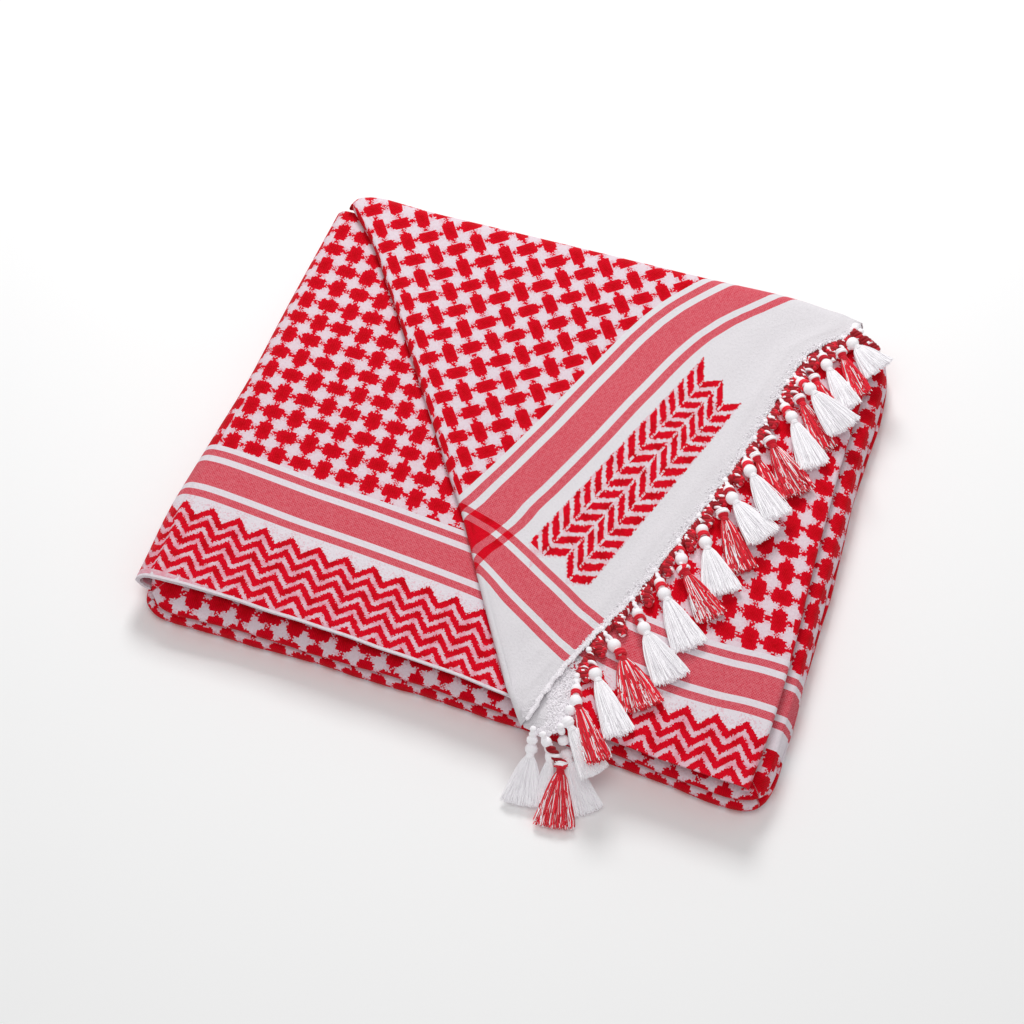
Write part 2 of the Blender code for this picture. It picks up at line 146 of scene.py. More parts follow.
PANEL_SIDES = [
    Side(-11.2, -13.15, 12.33),
    Side(-9.6, -13.2, 12.36),
    Side(-7.7, -13.3, 12.36),
    Side(-4.3, -13.1, 12.15),
    Side(-0.5, -12.82, 11.8),
    Side(4.0, -12.84, 11.5),
    Side(9.4, -12.75, 11.35),
]
PANEL_LIP = [
    Point(-13.4, -10.5), Point(-9.6, -10.36), Point(-6.1, -10.39), Point(-0.3, -10.5),
    Point(2.5, -10.7), Point(5.0, -11.0), Point(7.0, -11.2), Point(10.3, -11.3),
    Point(12.6, -11.33),
]
FLAP_SECTIONS = [
    Section(-12.1, 9.55, 10.35, 10.45, 10.35, 10.45),
    Section(-10.5, 7.95, 8.95, 8.90, 9.05, 8.90),
    Section(-9.2, 6.27, 8.45, 7.45, 8.60, 7.45),
    Section(-7.7, 4.25, 8.10, 5.20, 8.20, 5.20),
    Section(-5.35, 1.0, 7.72, 2.90, 7.80, 2.90),
    Section(-3.25, -1.95, 7.12, 0.20, 7.20, 0.20),
    Section(-1.9, -3.8, 6.50, -2.20, 6.58, -2.20),
    Section(-0.25, -6.4, 5.72, -5.10, 5.80, -5.10),
    Section(1.1, -8.5, 4.92, -7.20, 5.02, -7.20),
    Section(2.0, -9.85, 4.35, -8.70, 4.75, -8.90),
    Section(2.5, -10.6, 3.98, -9.95, 4.90, -10.10),
    Section(3.1, -11.3, 3.78, -10.94, 5.10, -11.20),
    Section(3.45, -11.62, 3.66, -11.40, 4.50, -11.75),
]
# The first edge of the panel's border stripes, from left to right.
PANEL_BORDER = [
    Point(-16.0, -4.05), Point(-11.5, -4.05), Point(-10.0, -4.13), Point(-8.0, -4.26),
    Point(-5.0, -4.36), Point(-2.0, -4.51), Point(0.0, -4.65), Point(3.0, -5.1),
    Point(6.0, -5.75), Point(8.6, -6.0), Point(9.5, -5.95), Point(10.5, -5.87),
    Point(11.2, -5.80), Point(12.3, -5.82), Point(15.0, -5.82),
]


class Across(NamedTuple):
    """Where a stripe edge lies across the cloth, at one distance to the back."""

    y: float
    x: float


# The first edge of the turned corner's stripes beside its tassels, from its tip to its back.
CORNER_BORDER = [
    Across(-14.0, -3.6), Across(-8.0, -3.3), Across(-7.0, -3.2), Across(-6.0, -3.07),
    Across(-5.0, -2.85), Across(-4.0, -2.45), Across(-3.0, -2.0), Across(-2.0, -1.66),
    Across(-1.0, -1.28), Across(0.0, -0.90), Across(2.0, -0.18), Across(4.0, 0.47),
    Across(6.0, 1.15), Across(7.0, 1.50), Across(8.0, 1.91), Across(9.0, 2.43),
    Across(9.6, 2.80), Across(10.2, 3.22), Across(11.0, 3.85), Across(12.0, 4.7),
    Across(14.0, 6.4),
]
# The first edge of its stripes along the other selvedge, from left to right.
CORNER_CROSSING = [
    Point(-12.0, -2.6), Point(-5.0, -3.1), Point(-2.5, -3.28), Point(-2.0, -3.35),
    Point(-1.0, -3.52), Point(0.0, -3.78), Point(0.5, -4.05), Point(1.0, -4.31),
    Point(2.0, -4.87), Point(3.0, -5.42), Point(4.0, -5.96), Point(4.5, -6.26),
    Point(5.0, -6.46), Point(6.0, -6.65), Point(9.0, -7.0),
]


class ZigzagLine(NamedTuple):
    """A line that the corner's zigzags turn at: its x at y = 0, and its x's step for each y."""

    x: float
    lean: float


class ZigzagRow(NamedTuple):
    """The depth at which one row of the corner's zigzags ends, by the hem."""

    y: float
    row: float


ZIGZAG_LINES = [
    ZigzagLine(2.37, 0.330), ZigzagLine(3.18, 0.328), ZigzagLine(3.94, 0.305),
    ZigzagLine(4.66, 0.302), ZigzagLine(5.40, 0.286),
]
ZIGZAG_ROWS = [
    ZigzagRow(-6.8, 18.0), ZigzagRow(-4.85, 15.0), ZigzagRow(-2.25, 11.0), ZigzagRow(0.55, 7.0),
    ZigzagRow(1.95, 5.0), ZigzagRow(3.7, 2.0), ZigzagRow(5.05, 0.0), ZigzagRow(7.0, -3.0),
]


# ---------------------------------------------------------------- reading the tables
Rows = Sequence[Sequence[float]]


def spline(rows: Rows, samples: int, closed: bool = False) -> Array:
    """Evenly parametrised Catmull-Rom points through the rows.

    Args:
        rows: the points to pass through.
        samples: how many points to give.
        closed: whether the last row joins the first.

    Returns:
        An array with a row for each point.
    """
    table = np.array([list(row) for row in rows])
    if closed:
        ends = np.vstack([table[-1], table, table[:2]])
        spans = len(table)
        at = np.arange(samples) * spans / samples
    else:
        ends = np.vstack([2 * table[0] - table[1], table, 2 * table[-1] - table[-2]])
        spans = len(table) - 1
        at = np.linspace(0, spans, samples)
    i = np.minimum(at.astype(int), spans - 1)
    t = (at - i)[:, None]
    p, q, r, s = (ends[i + n] for n in range(4))
    cubic = (2 * p - 5 * q + 4 * r - s) * t**2 + (3 * q - p - 3 * r + s) * t**3
    return 0.5 * (2 * q + (r - p) * t + cubic)


def read(rows: Rows, at: Array, column: int = 1) -> Array:
    """A table's column, read linearly where its first column is at.

    Args:
        rows: the table, in the order of its first column.
        at: places in the first column.
        column: the column to read.

    Returns:
        The readings, one for each place.
    """
    table = np.array([list(row) for row in rows])
    return np.interp(at, table[:, 0], table[:, column])


def soft_read(rows: Rows, at: Array, radius: float = 0.5) -> Array:
    """A table's second column, as read() gives it with the line's corners rounded off.

    Args:
        rows: the table, in the order of its first column.
        at: places in the first column.
        radius: how far the rounding reaches.

    Returns:
        The readings, one for each place.
    """
    offsets = (-1.0, -0.5, 0.0, 0.5, 1.0)
    return sum(read(rows, at + radius * n) for n in offsets) / len(offsets)


def smooth(t: Array) -> Array:
    """A soft step from 0 to 1, as t goes from 0 to 1."""
    t = np.clip(t, 0.0, 1.0)
    return t * t * (3 - 2 * t)


def bell(value: Array, middle: Array | float, width: float) -> Array:
    """A soft peak of height 1 at the middle, which fades out over the width on both sides."""
    return np.exp(-(((value - middle) / width) ** 2))


def turned(degrees: float) -> Vector:
    """The level direction at this heading, counted from +X towards +Y."""
    return Vector((cos(radians(degrees)), sin(radians(degrees)), 0.0))


class Ripple(NamedTuple):
    """A gentle wave that runs over the cloth in plan."""

    height: float
    across: float  # how fast it turns along X, in radians for each check
    along: float  # and along Y
    phase: float = 0.0

    def at(self, x: Array, y: Array, ahead: Array | float = 0.0) -> Array:
        """Its height at each place, with its phase moved ahead."""
        return self.height * np.sin(self.across * x + self.along * y + self.phase + ahead)


class Crease(NamedTuple):
    """A soft ridge or trough that a fold or a hand has left in the cloth."""

    x0: float
    y0: float
    x1: float
    y1: float
    width: float
    lift: float


# Creases shared by the upper panel and the corner that lies on it.
STACK_CREASES = [
    Crease(-12.5, -6.5, -5.0, -7.6, 1.6, 0.030),
    Crease(-11.8, 4.6, -6.2, 7.9, 1.5, -0.035),
    Crease(-12.2, -0.5, -6.5, 1.8, 1.9, 0.035),
    Crease(-10.5, -3.6, -3.2, -2.2, 1.3, -0.030),
    Crease(9.8, -9.8, 10.6, 3.5, 1.1, -0.045),
    Crease(-2.5, 8.4, 6.0, 9.0, 1.7, 0.030),
    Crease(-6.5, 6.0, 1.5, 4.4, 1.8, -0.030),
    Crease(-3.4, 1.6, 1.2, 3.9, 1.2, 0.028),
    Crease(1.5, -2.5, 4.8, 5.8, 1.3, -0.028),
]
# Creases of the turned-over corner alone.
CORNER_CREASES = [
    Crease(4.9, -6.2, 7.6, 4.2, 0.55, 0.035),
    Crease(7.4, 4.8, 8.9, 9.6, 0.75, 0.040),
    Crease(5.7, -2.6, 7.0, 2.0, 0.35, -0.020),
    Crease(3.1, -8.3, 2.7, -10.6, 0.40, 0.060),
    Crease(3.9, -7.6, 3.6, -10.0, 0.35, -0.040),
    Crease(0.2, -6.3, 2.4, -8.0, 0.8, 0.040),
    Crease(5.4, 8.6, 6.6, 10.2, 0.8, -0.030),
]


ROLLS = (Ripple(0.012, 0.55, 0.30), Ripple(0.010, -0.4, 0.85, 1.0))
SINK = 0.012  # how far the rolling top lies under its flat solid on the whole


def lift_of(creases: Sequence[Crease], x: Array, y: Array) -> Array:
    """How far the creases raise the cloth at each place.

    Args:
        creases: the ridges and troughs.
        x: places to the right.
        y: places to the back.

    Returns:
        The lift in checks, which is negative in a trough.
    """
    total = np.zeros_like(x)
    for c in creases:
        run_x, run_y = c.x1 - c.x0, c.y1 - c.y0
        length = hypot(run_x, run_y)
        t = ((x - c.x0) * run_x + (y - c.y0) * run_y) / length**2
        wander = 0.25 * c.width * np.sin(5.0 * t + c.x0)
        side = ((x - c.x0) * run_y - (y - c.y0) * run_x) / length + wander
        fade = np.exp(-np.clip(np.abs(t - 0.5) - 0.35, 0, None) ** 2 / 0.03)
        total += c.lift * fade * np.exp(-((side / c.width) ** 2) * 2)
    return total


def ground(x: Array, y: Array) -> Array:
    """The uneven height of the whole stack's top over its flat solid."""
    broad, narrow = (ripple.at(x, y) for ripple in ROLLS)
    return lift_of(STACK_CREASES, x, y) + (broad + narrow) - SINK


# ---------------------------------------------------------------- cloth shells
class Weave(Enum):
    """The woven coordinates that every cloth piece carries as UV maps, all counted in checks."""

    CHECKS = "checks"  # across and along the field of woven checks
    BORDER = "border"  # past the first edge of one set of stripes, and of the other set
    CHEVRON = "chevron"  # half turns along a row of zigzags, and rows past the first
    HEM = "hem"  # in from the cut edge, and along it


NOWHERE = -100.0  # a woven coordinate far from the feature that it counts from
FIRST_TURN = 40.0  # an even number of half turns, so that zigzags are counted from above 0
Maps = dict[Weave, Array]


@dataclass(frozen=True)
class Cloth:
    """A finished piece of cloth: the object and the flat cut of what shows of it."""

    piece: Object
    flat: tuple[float, float]


def grid_faces(rows: int, columns: int, start: int, flip: bool, closed: bool) -> Array:
    """The quads between neighbouring points of a grid.

    Args:
        rows: how many rows of points.
        columns: how many points in a row.
        start: the number of the grid's first point.
        flip: whether the faces look the other way.
        closed: whether each row joins up into a ring.

    Returns:
        An array with a row of four point numbers for each quad.
    """
    across = np.arange(columns if closed else columns - 1)
    low = np.arange(rows - 1)[:, None] * columns + across[None, :]
    right = np.arange(rows - 1)[:, None] * columns + (across[None, :] + 1) % columns
    quads = np.stack([low, right, right + columns, low + columns], axis=-1).reshape(-1, 4)
    if flip:
        quads = quads[:, ::-1]
    return quads + start


def rim_faces(first: Array, second: Array, closed: bool) -> Array:
    """The quads between two matching lines of points.

    Args:
        first: the numbers of one line's points.
        second: the numbers of the other's.
        closed: whether the lines join up into rings.

    Returns:
        An array with a row of four point numbers for each quad.
    """
    after_first, after_second = np.roll(first, -1), np.roll(second, -1)
    quads = np.stack([first, after_first, after_second, second], axis=-1)
    return quads if closed else quads[:-1]


def make_shell(name: str, outer: Array, inner: Array, maps: Maps,
               closed: bool = False) -> Object:
    """A thin shell of cloth between two matching grids of points.

    Args:
        name: the piece's name.
        outer: the outside's points in checks, as rows by columns by three.
        inner: the inside's points, in the same order.
        maps: the woven coordinates of each place, as rows by columns by two.
        closed: whether each row joins up into a ring.

    Returns:
        The linked object, smooth shaded, with its normals outward.
    """
    rows, columns = outer.shape[:2]
    count = rows * columns
    numbers = np.arange(count).reshape(rows, columns)
    faces = [
        grid_faces(rows, columns, 0, False, closed),
        grid_faces(rows, columns, count, True, closed),
        rim_faces(numbers[0], numbers[0] + count, closed),
        rim_faces(numbers[-1], numbers[-1] + count, closed),
    ]
    if not closed:
        faces.append(rim_faces(numbers[:, 0], numbers[:, 0] + count, False))
        faces.append(rim_faces(numbers[:, -1], numbers[:, -1] + count, False))
    points = np.vstack([outer.reshape(-1, 3), inner.reshape(-1, 3)]) * CHECK
    mesh = bpy.data.meshes.new(name)
    mesh.from_pydata(points.tolist(), [], np.vstack(faces).tolist())
    corner_points = np.empty(len(mesh.loops), dtype=np.int32)
    mesh.loops.foreach_get("vertex_index", corner_points)
    for kind, grid in maps.items():
        layer = mesh.uv_layers.new(name=kind.value)
        both = np.vstack([grid.reshape(-1, 2)] * 2)
        layer.data.foreach_set("uv", both[corner_points].astype(np.float32).ravel())
    return link_mesh(name, mesh)


def link_mesh(name: str, mesh: Mesh, sharp: float = 60.0) -> Object:
    """Turns a mesh's normals outward, smooths its shading and links it as an object.

    Args:
        name: the object's name.
        mesh: its mesh.
        sharp: edges that turn more degrees than this stay sharp.

    Returns:
        The object.
    """
    bm = bmesh.new()
    bm.from_mesh(mesh)
    bmesh.ops.recalc_face_normals(bm, faces=bm.faces)
    bm.to_mesh(mesh)
    bm.free()
    mesh.shade_smooth()
    mesh.set_sharp_from_angle(angle=radians(sharp))
    made = bpy.data.objects.new(name, mesh)
    bpy.context.scene.collection.objects.link(made)
    return made


def grid_normals(points: Array, closed: bool) -> Array:
    """Unit normals of a grid of points, from its neighbours along rows and columns.

    Args:
        points: the grid, as rows by columns by three.
        closed: whether each row joins up into a ring.

    Returns:
        The normals, in the same order.
    """
    along = np.gradient(points, axis=0)
    if closed:
        across = np.roll(points, -1, axis=1) - np.roll(points, 1, axis=1)
    else:
        across = np.gradient(points, axis=1)
    normals = np.cross(across, along)
    return normals / np.maximum(np.linalg.norm(normals, axis=-1, keepdims=True), TINY)


def path_length(points: Array, axis: int) -> Array:
    """Length run along one axis of a grid of points, from 0 at its first point."""
    steps = np.linalg.norm(np.diff(points, axis=axis), axis=-1)
    start = np.zeros_like(np.take(steps, [0], axis=axis))
    return np.concatenate([start, np.cumsum(steps, axis=axis)], axis=axis)


def pair(first: Array, second: Array) -> Array:
    """Two grids of numbers, broadcast together, as one grid of pairs."""
    return np.stack(np.broadcast_arrays(first, second), axis=-1)


# ---------------------------------------------------------------- the folded core
class Face(Enum):
    """Which way a stretch of the folded core's edge looks."""

    FRONT = 0
    RIGHT = 1
    BACK = 2
    LEFT = 3


@dataclass
class FoldedCore:
    """The hidden layers of the stack: one soft shell whose folds show round its edge."""

    around: int = 460
    wall: float = 0.0014 / CHECK
    crease_depth: float = 0.10
    crease_width: float = 0.055
    recess: float = 0.80  # how much deeper the front's top draws in under the lip
    rim: float = 3.6  # how far its top runs in under the upper panel
    middle: float = 0.4  # radius of the patch that closes its underside
    creases: tuple[float, ...] = (0.80,)
    crease_waves: tuple[Ripple, Ripple] = (Ripple(0.035, 0.55, 0.4), Ripple(0.015, 1.9, -1.0))
    faint_creases: tuple[float, ...] = (0.34, 1.16)
    faint_depth: float = 0.035
    faint_width: float = 0.05
    faint_wave: Ripple = Ripple(0.05, 0.8, 0.5)  # how a faint crease rises and falls
    faint_fade: Ripple = Ripple(0.5, 0.45, 0.6)  # and where it shows
    upper_wave: Ripple = Ripple(0.035, 0.9, 0.7, 1.2)  # bulges of the layers over the crease
    lower_wave: Ripple = Ripple(0.030, 1.3, -0.8, 3.0)  # and of those under it
    fine_wave: Ripple = Ripple(0.012, 3.1, 2.3)
    star_left: float = -4.78  # a white star's middle on the front's upper roll
    star_pitch: float = 1.045
    border_line: float = -5.90  # first stripe edge on the right side
    border_width: float = 3.3  # the checks start again past this much of the border
    right_pitch: float = 1.10

    def outline(self) -> tuple[Array, Array]:
        """The widest outline in plan and its outward directions."""
        line = spline(CORE_OUTLINE, self.around, closed=True)
        along = np.roll(line, -1, axis=0) - np.roll(line, 1, axis=0)
        along /= np.linalg.norm(along, axis=1, keepdims=True)
        return line, np.stack([along[:, 1], -along[:, 0]], axis=1)

    def heights(self) -> Array:
        """The heights of the side's levels, closest together at the deep crease."""
        even = np.linspace(0.0, CORE_TOP, 40)
        near = np.linspace(0.66, 0.94, 13)
        return np.unique(np.round(np.concatenate([even, near]), 4))

    def inset(self, z: Array, outward: Array, line: Array) -> Array:
        """How far each point of each level draws in from the widest outline.

        Args:
            z: the levels' heights.
            outward: the outline's outward directions.
            line: the outline itself, which sets where its undulations fall.

        Returns:
            Insets in checks, as levels by points.
        """
        columns = spline(CORE_LEVELS, 240)
        order = np.argsort(columns[:, 0])
        sides = [np.interp(z, columns[order, 0], columns[order, n]) for n in range(1, 5)]
        front, right, back, left = (side[:, None] for side in sides)
        side = np.where(outward[None, :, 0] > 0, right, left) * np.abs(outward[None, :, 0])
        end = np.where(outward[None, :, 1] > 0, back, front) * np.abs(outward[None, :, 1])
        total = side + end
        x, y = line[None, :, 0], line[None, :, 1]
        level = z[:, None]
        upper = smooth((level - 0.72) / 0.16)
        total = total - self.upper_wave.at(x, y) * upper
        total = total - self.lower_wave.at(x, y) * (1 - upper)
        total = total - self.fine_wave.at(x, y, 6 * level)
        for at in self.creases:
            shift = at + self.crease_waves[0].at(x, y) + self.crease_waves[1].at(x, y)
            total = total + self.crease_depth * bell(level, shift, self.crease_width)
        for at in self.faint_creases:
            shift = at + self.faint_wave.at(x, y, 4 * at)
            fade = 0.5 + self.faint_fade.at(x, y, 9 * at)
            total = total + self.faint_depth * fade * bell(level, shift, self.faint_width)
        recess = self.recess * smooth((level - 1.16) / 0.46) * np.clip(-outward[None, :, 1], 0, 1)
        return total * smooth(level / 0.05 + 0.6) + recess

    def faces_of(self, outward: Array) -> Array:
        """Which Face each point of the outline belongs to."""
        x, y = outward[:, 0], outward[:, 1]
        ends = np.where(y < 0, Face.FRONT.value, Face.BACK.value)
        sides = np.where(x > 0, Face.RIGHT.value, Face.LEFT.value)
        return np.where(np.abs(y) > np.abs(x), ends, sides)

    def points(self) -> tuple[Array, int]:
        """The outside, from the middle of its underside up its sides and in over its top.

        Returns:
            All points, and the first row of its upright sides.
        """
        line, outward = self.outline()
        z = self.heights()
        inset = self.inset(z, outward, line)
        spread = np.mean([np.roll(outward, n, axis=0) for n in range(-5, 6)], axis=0)
        sides = line[None] - spread[None] * inset[..., None]
        upright = np.concatenate([sides, np.repeat(z[:, None, None], self.around, 1)], axis=2)
        centre = line.mean(axis=0)
        spoke = sides[0] - centre
        reach = np.linalg.norm(spoke, axis=1, keepdims=True)
        below = []
        for share in np.linspace(0.0, 1.0, 26)[:-1]:
            flat = centre + spoke / reach * (self.middle + (reach - self.middle) * share)
            below.append(np.column_stack([flat, np.zeros(self.around)]))
        above = []
        for step in np.linspace(0.0, self.rim, 16)[1:]:
            flat = sides[-1] - outward * step * 0.96
            sink = 0.05 * smooth(step)
            above.append(np.column_stack([flat, np.full(self.around, CORE_TOP - sink)]))
        rows = np.concatenate([np.array(below), upright, np.array(above)])
        return rows, len(below)

    def maps(self, points: Array, first: int) -> Maps:
        """The woven coordinates, which change at the corners and in the deep crease.

        Args:
            points: the outside's points.
            first: the first row of its upright sides.

        Returns:
            The coordinates of each point.
        """
        faces = self.faces_of(self.outline()[1])[None, :]
        x, y, z = (points[..., n] for n in range(3))
        run = path_length(points, axis=0)
        height = run - run[[first]]
        rows = np.arange(len(points))[:, None]
        lower = (z < self.creases[0]) | (rows < first)
        shift = np.where(lower, 0.5, 0.0)
        u = (x - self.star_left) / self.star_pitch + 0.5 + shift
        v = height - 0.45
        sideways = (faces == Face.RIGHT.value) | (faces == Face.LEFT.value)
        u = np.where(sideways, height * 0.95 - 0.62, u)
        v = np.where(sideways, (y + 5.1) / self.right_pitch - 4 + 0.5 * lower, v)
        under = rows < first
        u = np.where(under, x, u)
        v = np.where(under, y * 1.02, v)
        past = np.where((faces == Face.RIGHT.value) & ~under, self.border_line - y, NOWHERE)
        past = np.where(past > self.border_width, NOWHERE, past)
        far = np.full_like(u, -NOWHERE)
        return {
            Weave.CHECKS: pair(u, v),
            Weave.BORDER: pair(past, NOWHERE),
            Weave.CHEVRON: pair(NOWHERE, np.full_like(u, NOWHERE)),
            Weave.HEM: pair(far, y),
        }

    def build(self) -> Cloth:
        """Builds the shell and closes the middle of its underside."""
        outer, first = self.points()
        normals = grid_normals(outer, closed=True)
        level = np.mean(normals[..., 2:], axis=1, keepdims=True)
        around = np.broadcast_to(self.outline()[1], normals[..., :2].shape)
        outward = np.concatenate([around, np.broadcast_to(level, normals[..., 2:].shape)], axis=2)
        sign = np.where(np.sum(normals * outward, axis=-1, keepdims=True) < 0, -1.0, 1.0)
        inner = outer - normals * sign * self.wall
        piece = make_shell("core_cloth", outer, inner, self.maps(outer, first), closed=True)
        close_middle(piece, self.around)
        return Cloth(piece, (0.40, 0.46))


def close_middle(piece: Object, around: int) -> None:
    """Fills the small round hole in the underside of a shell, inside and out.

    Args:
        piece: the shell.
        around: how many points the hole's edge has.
    """
    bm = bmesh.new()
    bm.from_mesh(piece.data)
    bm.verts.ensure_lookup_table()
    size = len(bm.verts) // 2
    outer = [bm.verts[n] for n in range(around)]
    inner = [bm.verts[size + n] for n in range(around)]
    bands = [f for f in bm.faces if all(v.index < around or size <= v.index < size + around
                                        for v in f.verts)]
    bmesh.ops.delete(bm, geom=bands, context="FACES_ONLY")
    bm.faces.new(outer)
    bm.faces.new(inner)
    bmesh.ops.recalc_face_normals(bm, faces=bm.faces)
    bm.to_mesh(piece.data)
    bm.free()


# ---------------------------------------------------------------- the upper panel
@dataclass
class UpperPanel:
    """The stack's top layer: a selvedge along its front, folded down at both sides."""

    wall: float = 0.0012 / CHECK
    lip_growth: float = 1.3  # how much thicker the cloth is along its rolled cut edge
    lip_fade: float = 45.0
    lip_end: float = -5.0  # its roll is gone to the right of this x
    lip_run: float = 8.0
    lip_waves: tuple[Ripple, Ripple] = (Ripple(0.030, 1.15, 0.0, 0.8), Ripple(0.018, 2.7, 0.0))
    deep_fold: float = 0.595
    pressed_fold: float = 0.17
    turn_under: float = 0.12
    shoulder: float = -11.9  # where the top starts to sink towards the left fold
    shoulder_width: float = 1.2
    shoulder_drop: float = 0.24
    stations: int = 130
    spans: int = 190
    field_line: float = 0.4
    field_pitch: float = 1.02
    right_line: float = 5.1
    right_pitch: float = 1.1
    right_lean: float = 0.165  # how far its columns step left for each check to the back
    peak: float = -9.01  # x of one peak of the zigzags
    half_turn: float = 0.5875
    right_shift: float = 0.505  # how far the zigzags stand over on the right
    first_row: float = 2.83
    row_pitch: float = 0.59
    right_row_pitch: float = 0.64
    stripe_growth: float = 0.06  # the stripes are this much wider on the right

    def section(self, left: float, right: float, inset: float) -> Array:
        """(x, z) from the turn-under on the right, over the top, to the left fold's end.

        Args:
            left: the left fold's outermost x.
            right: the right fold's outermost x.
            inset: how far inside the outer face this line runs.

        Returns:
            The points of one section.
        """
        small, deep = self.pressed_fold - inset, self.deep_fold - inset
        small_x, small_z = right - self.pressed_fold, STACK_HEIGHT - self.pressed_fold
        deep_x, deep_z = left + self.deep_fold, STACK_HEIGHT - self.deep_fold
        start = np.array([[small_x - self.turn_under * n / 2, small_z - small] for n in (2, 1)])
        turn = np.linspace(-pi / 2, pi / 2, 15)
        pressed = np.column_stack([small_x + small * np.cos(turn), small_z + small * np.sin(turn)])
        top_x = np.linspace(small_x, deep_x, self.spans)[1:-1]
        top = np.column_stack([top_x, np.full(len(top_x), STACK_HEIGHT - inset)])
        turn = np.linspace(pi / 2, 3 * pi / 2, 30)
        rolled = np.column_stack([deep_x + deep * np.cos(turn), deep_z + deep * np.sin(turn)])
        return np.vstack([start, pressed, top, rolled])

    def grid(self, inset: float) -> Array:
        """The panel's points.

        Args:
            inset: how far inside the outer face they lie.

        Returns:
            Stations from its selvedge to its back, by section points, by three.
        """
        first, back = PANEL_SIDES[0].y, PANEL_SIDES[-1].y
        shares = np.linspace(0, 1, self.stations)
        shares = shares - 0.12 * np.sin(2 * pi * shares) / (2 * pi)
        rows = []
        for share in shares:
            y = np.array([first + (back - first) * share])
            left = soft_read(PANEL_SIDES, y, 1.0)[0]
            right = np.mean([read(PANEL_SIDES, y + n, 2)[0] for n in (-0.8, 0.0, 0.8)])
            rolled = 1 + self.lip_growth * exp(-share * self.lip_fade)
            section = self.section(left, right, inset)
            thick = self.section(left, right, inset * rolled)
            section += (thick - section) * smooth((self.lip_end - section[:, :1]) / self.lip_run)
            lip = soft_read(PANEL_LIP, section[:, 0])
            depth = lip + (back - lip) * share
            rows.append(np.column_stack([section[:, 0], depth, section[:, 1]]))
        points = np.array(rows)
        x, y, z = (points[..., n] for n in range(3))
        on_top = smooth((z - STACK_HEIGHT + 0.35) / 0.3)
        wave = self.lip_waves[0].at(x, y) + self.lip_waves[1].at(x, y)
        at_lip = np.exp(-((y - soft_read(PANEL_LIP, x)) / 0.9))
        points[..., 2] += (ground(x, y) + (wave - 0.02) * at_lip) * on_top
        past = np.clip((self.shoulder - x) / self.shoulder_width, 0, 1)
        points[..., 2] -= self.shoulder_drop * past**2 * smooth((z - STACK_HEIGHT + 0.9) / 0.6)
        return points

    def maps(self, points: Array) -> Maps:
        """The woven coordinates, whose two halves meet under the turned-over corner.

        Args:
            points: the panel's outer points.

        Returns:
            The coordinates of each point.
        """
        x, y, z = (points[..., n] for n in range(3))
        top = points[..., :2].copy()
        left_edge, right_edge = read(PANEL_SIDES, y[:, 0], 1), read(PANEL_SIDES, y[:, 0], 2)
        deep_x = (left_edge + self.deep_fold)[:, None]
        small_x = (right_edge - self.pressed_fold)[:, None]
        low = STACK_HEIGHT - z
        rolled = np.arccos(np.clip((self.deep_fold - low) / self.deep_fold, -1, 1))
        pressed = np.arccos(np.clip((self.pressed_fold - low) / self.pressed_fold, -1, 1))
        x = np.where(x < deep_x, deep_x - rolled * self.deep_fold, top[..., 0])
        x = np.where(top[..., 0] > small_x, small_x + pressed * self.pressed_fold, x)
        to_right = smooth((top[..., 0] - 1.0) / 6.0)
        u = x + 1 + (self.right_lean * (y + self.right_line) - 0.45) * to_right
        v_left = (y - self.field_line) * self.field_pitch
        v_right = (y + self.right_line) / self.right_pitch - 4
        v = v_left + (v_right - v_left) * to_right
        past = self.past_border(x, y)
        near = smooth((top[..., 0] - 2.3) / 2.1)
        p = (x - self.peak - self.right_shift * near) / self.half_turn + FIRST_TURN
        pitch = self.row_pitch + (self.right_row_pitch - self.row_pitch) * near
        q = (past - self.first_row) / pitch
        edge = y - soft_read(PANEL_LIP, top[..., 0]) + 0.25 * near
        return {
            Weave.CHECKS: pair(u, v),
            Weave.BORDER: pair(past, NOWHERE),
            Weave.CHEVRON: pair(p, q),
            Weave.HEM: pair(edge, x),
        }

    def past_border(self, x: Array, y: Array) -> Array:
        """Distance past the first stripe edge, towards the selvedge."""
        line = soft_read(PANEL_BORDER, x)
        slope = soft_read(PANEL_BORDER, x + 0.5) - soft_read(PANEL_BORDER, x - 0.5)
        growth = 1 + self.stripe_growth * smooth((x - 2.0) / 5.0)
        return (line - y) / np.sqrt(1 + slope**2) / growth

    def build(self) -> Cloth:
        """Builds the panel's thin shell."""
        outer, inner = self.grid(0.0), self.grid(self.wall)
        piece = make_shell("panel_cloth", outer, inner, self.maps(outer))
        return Cloth(piece, (0.385, 0.29))


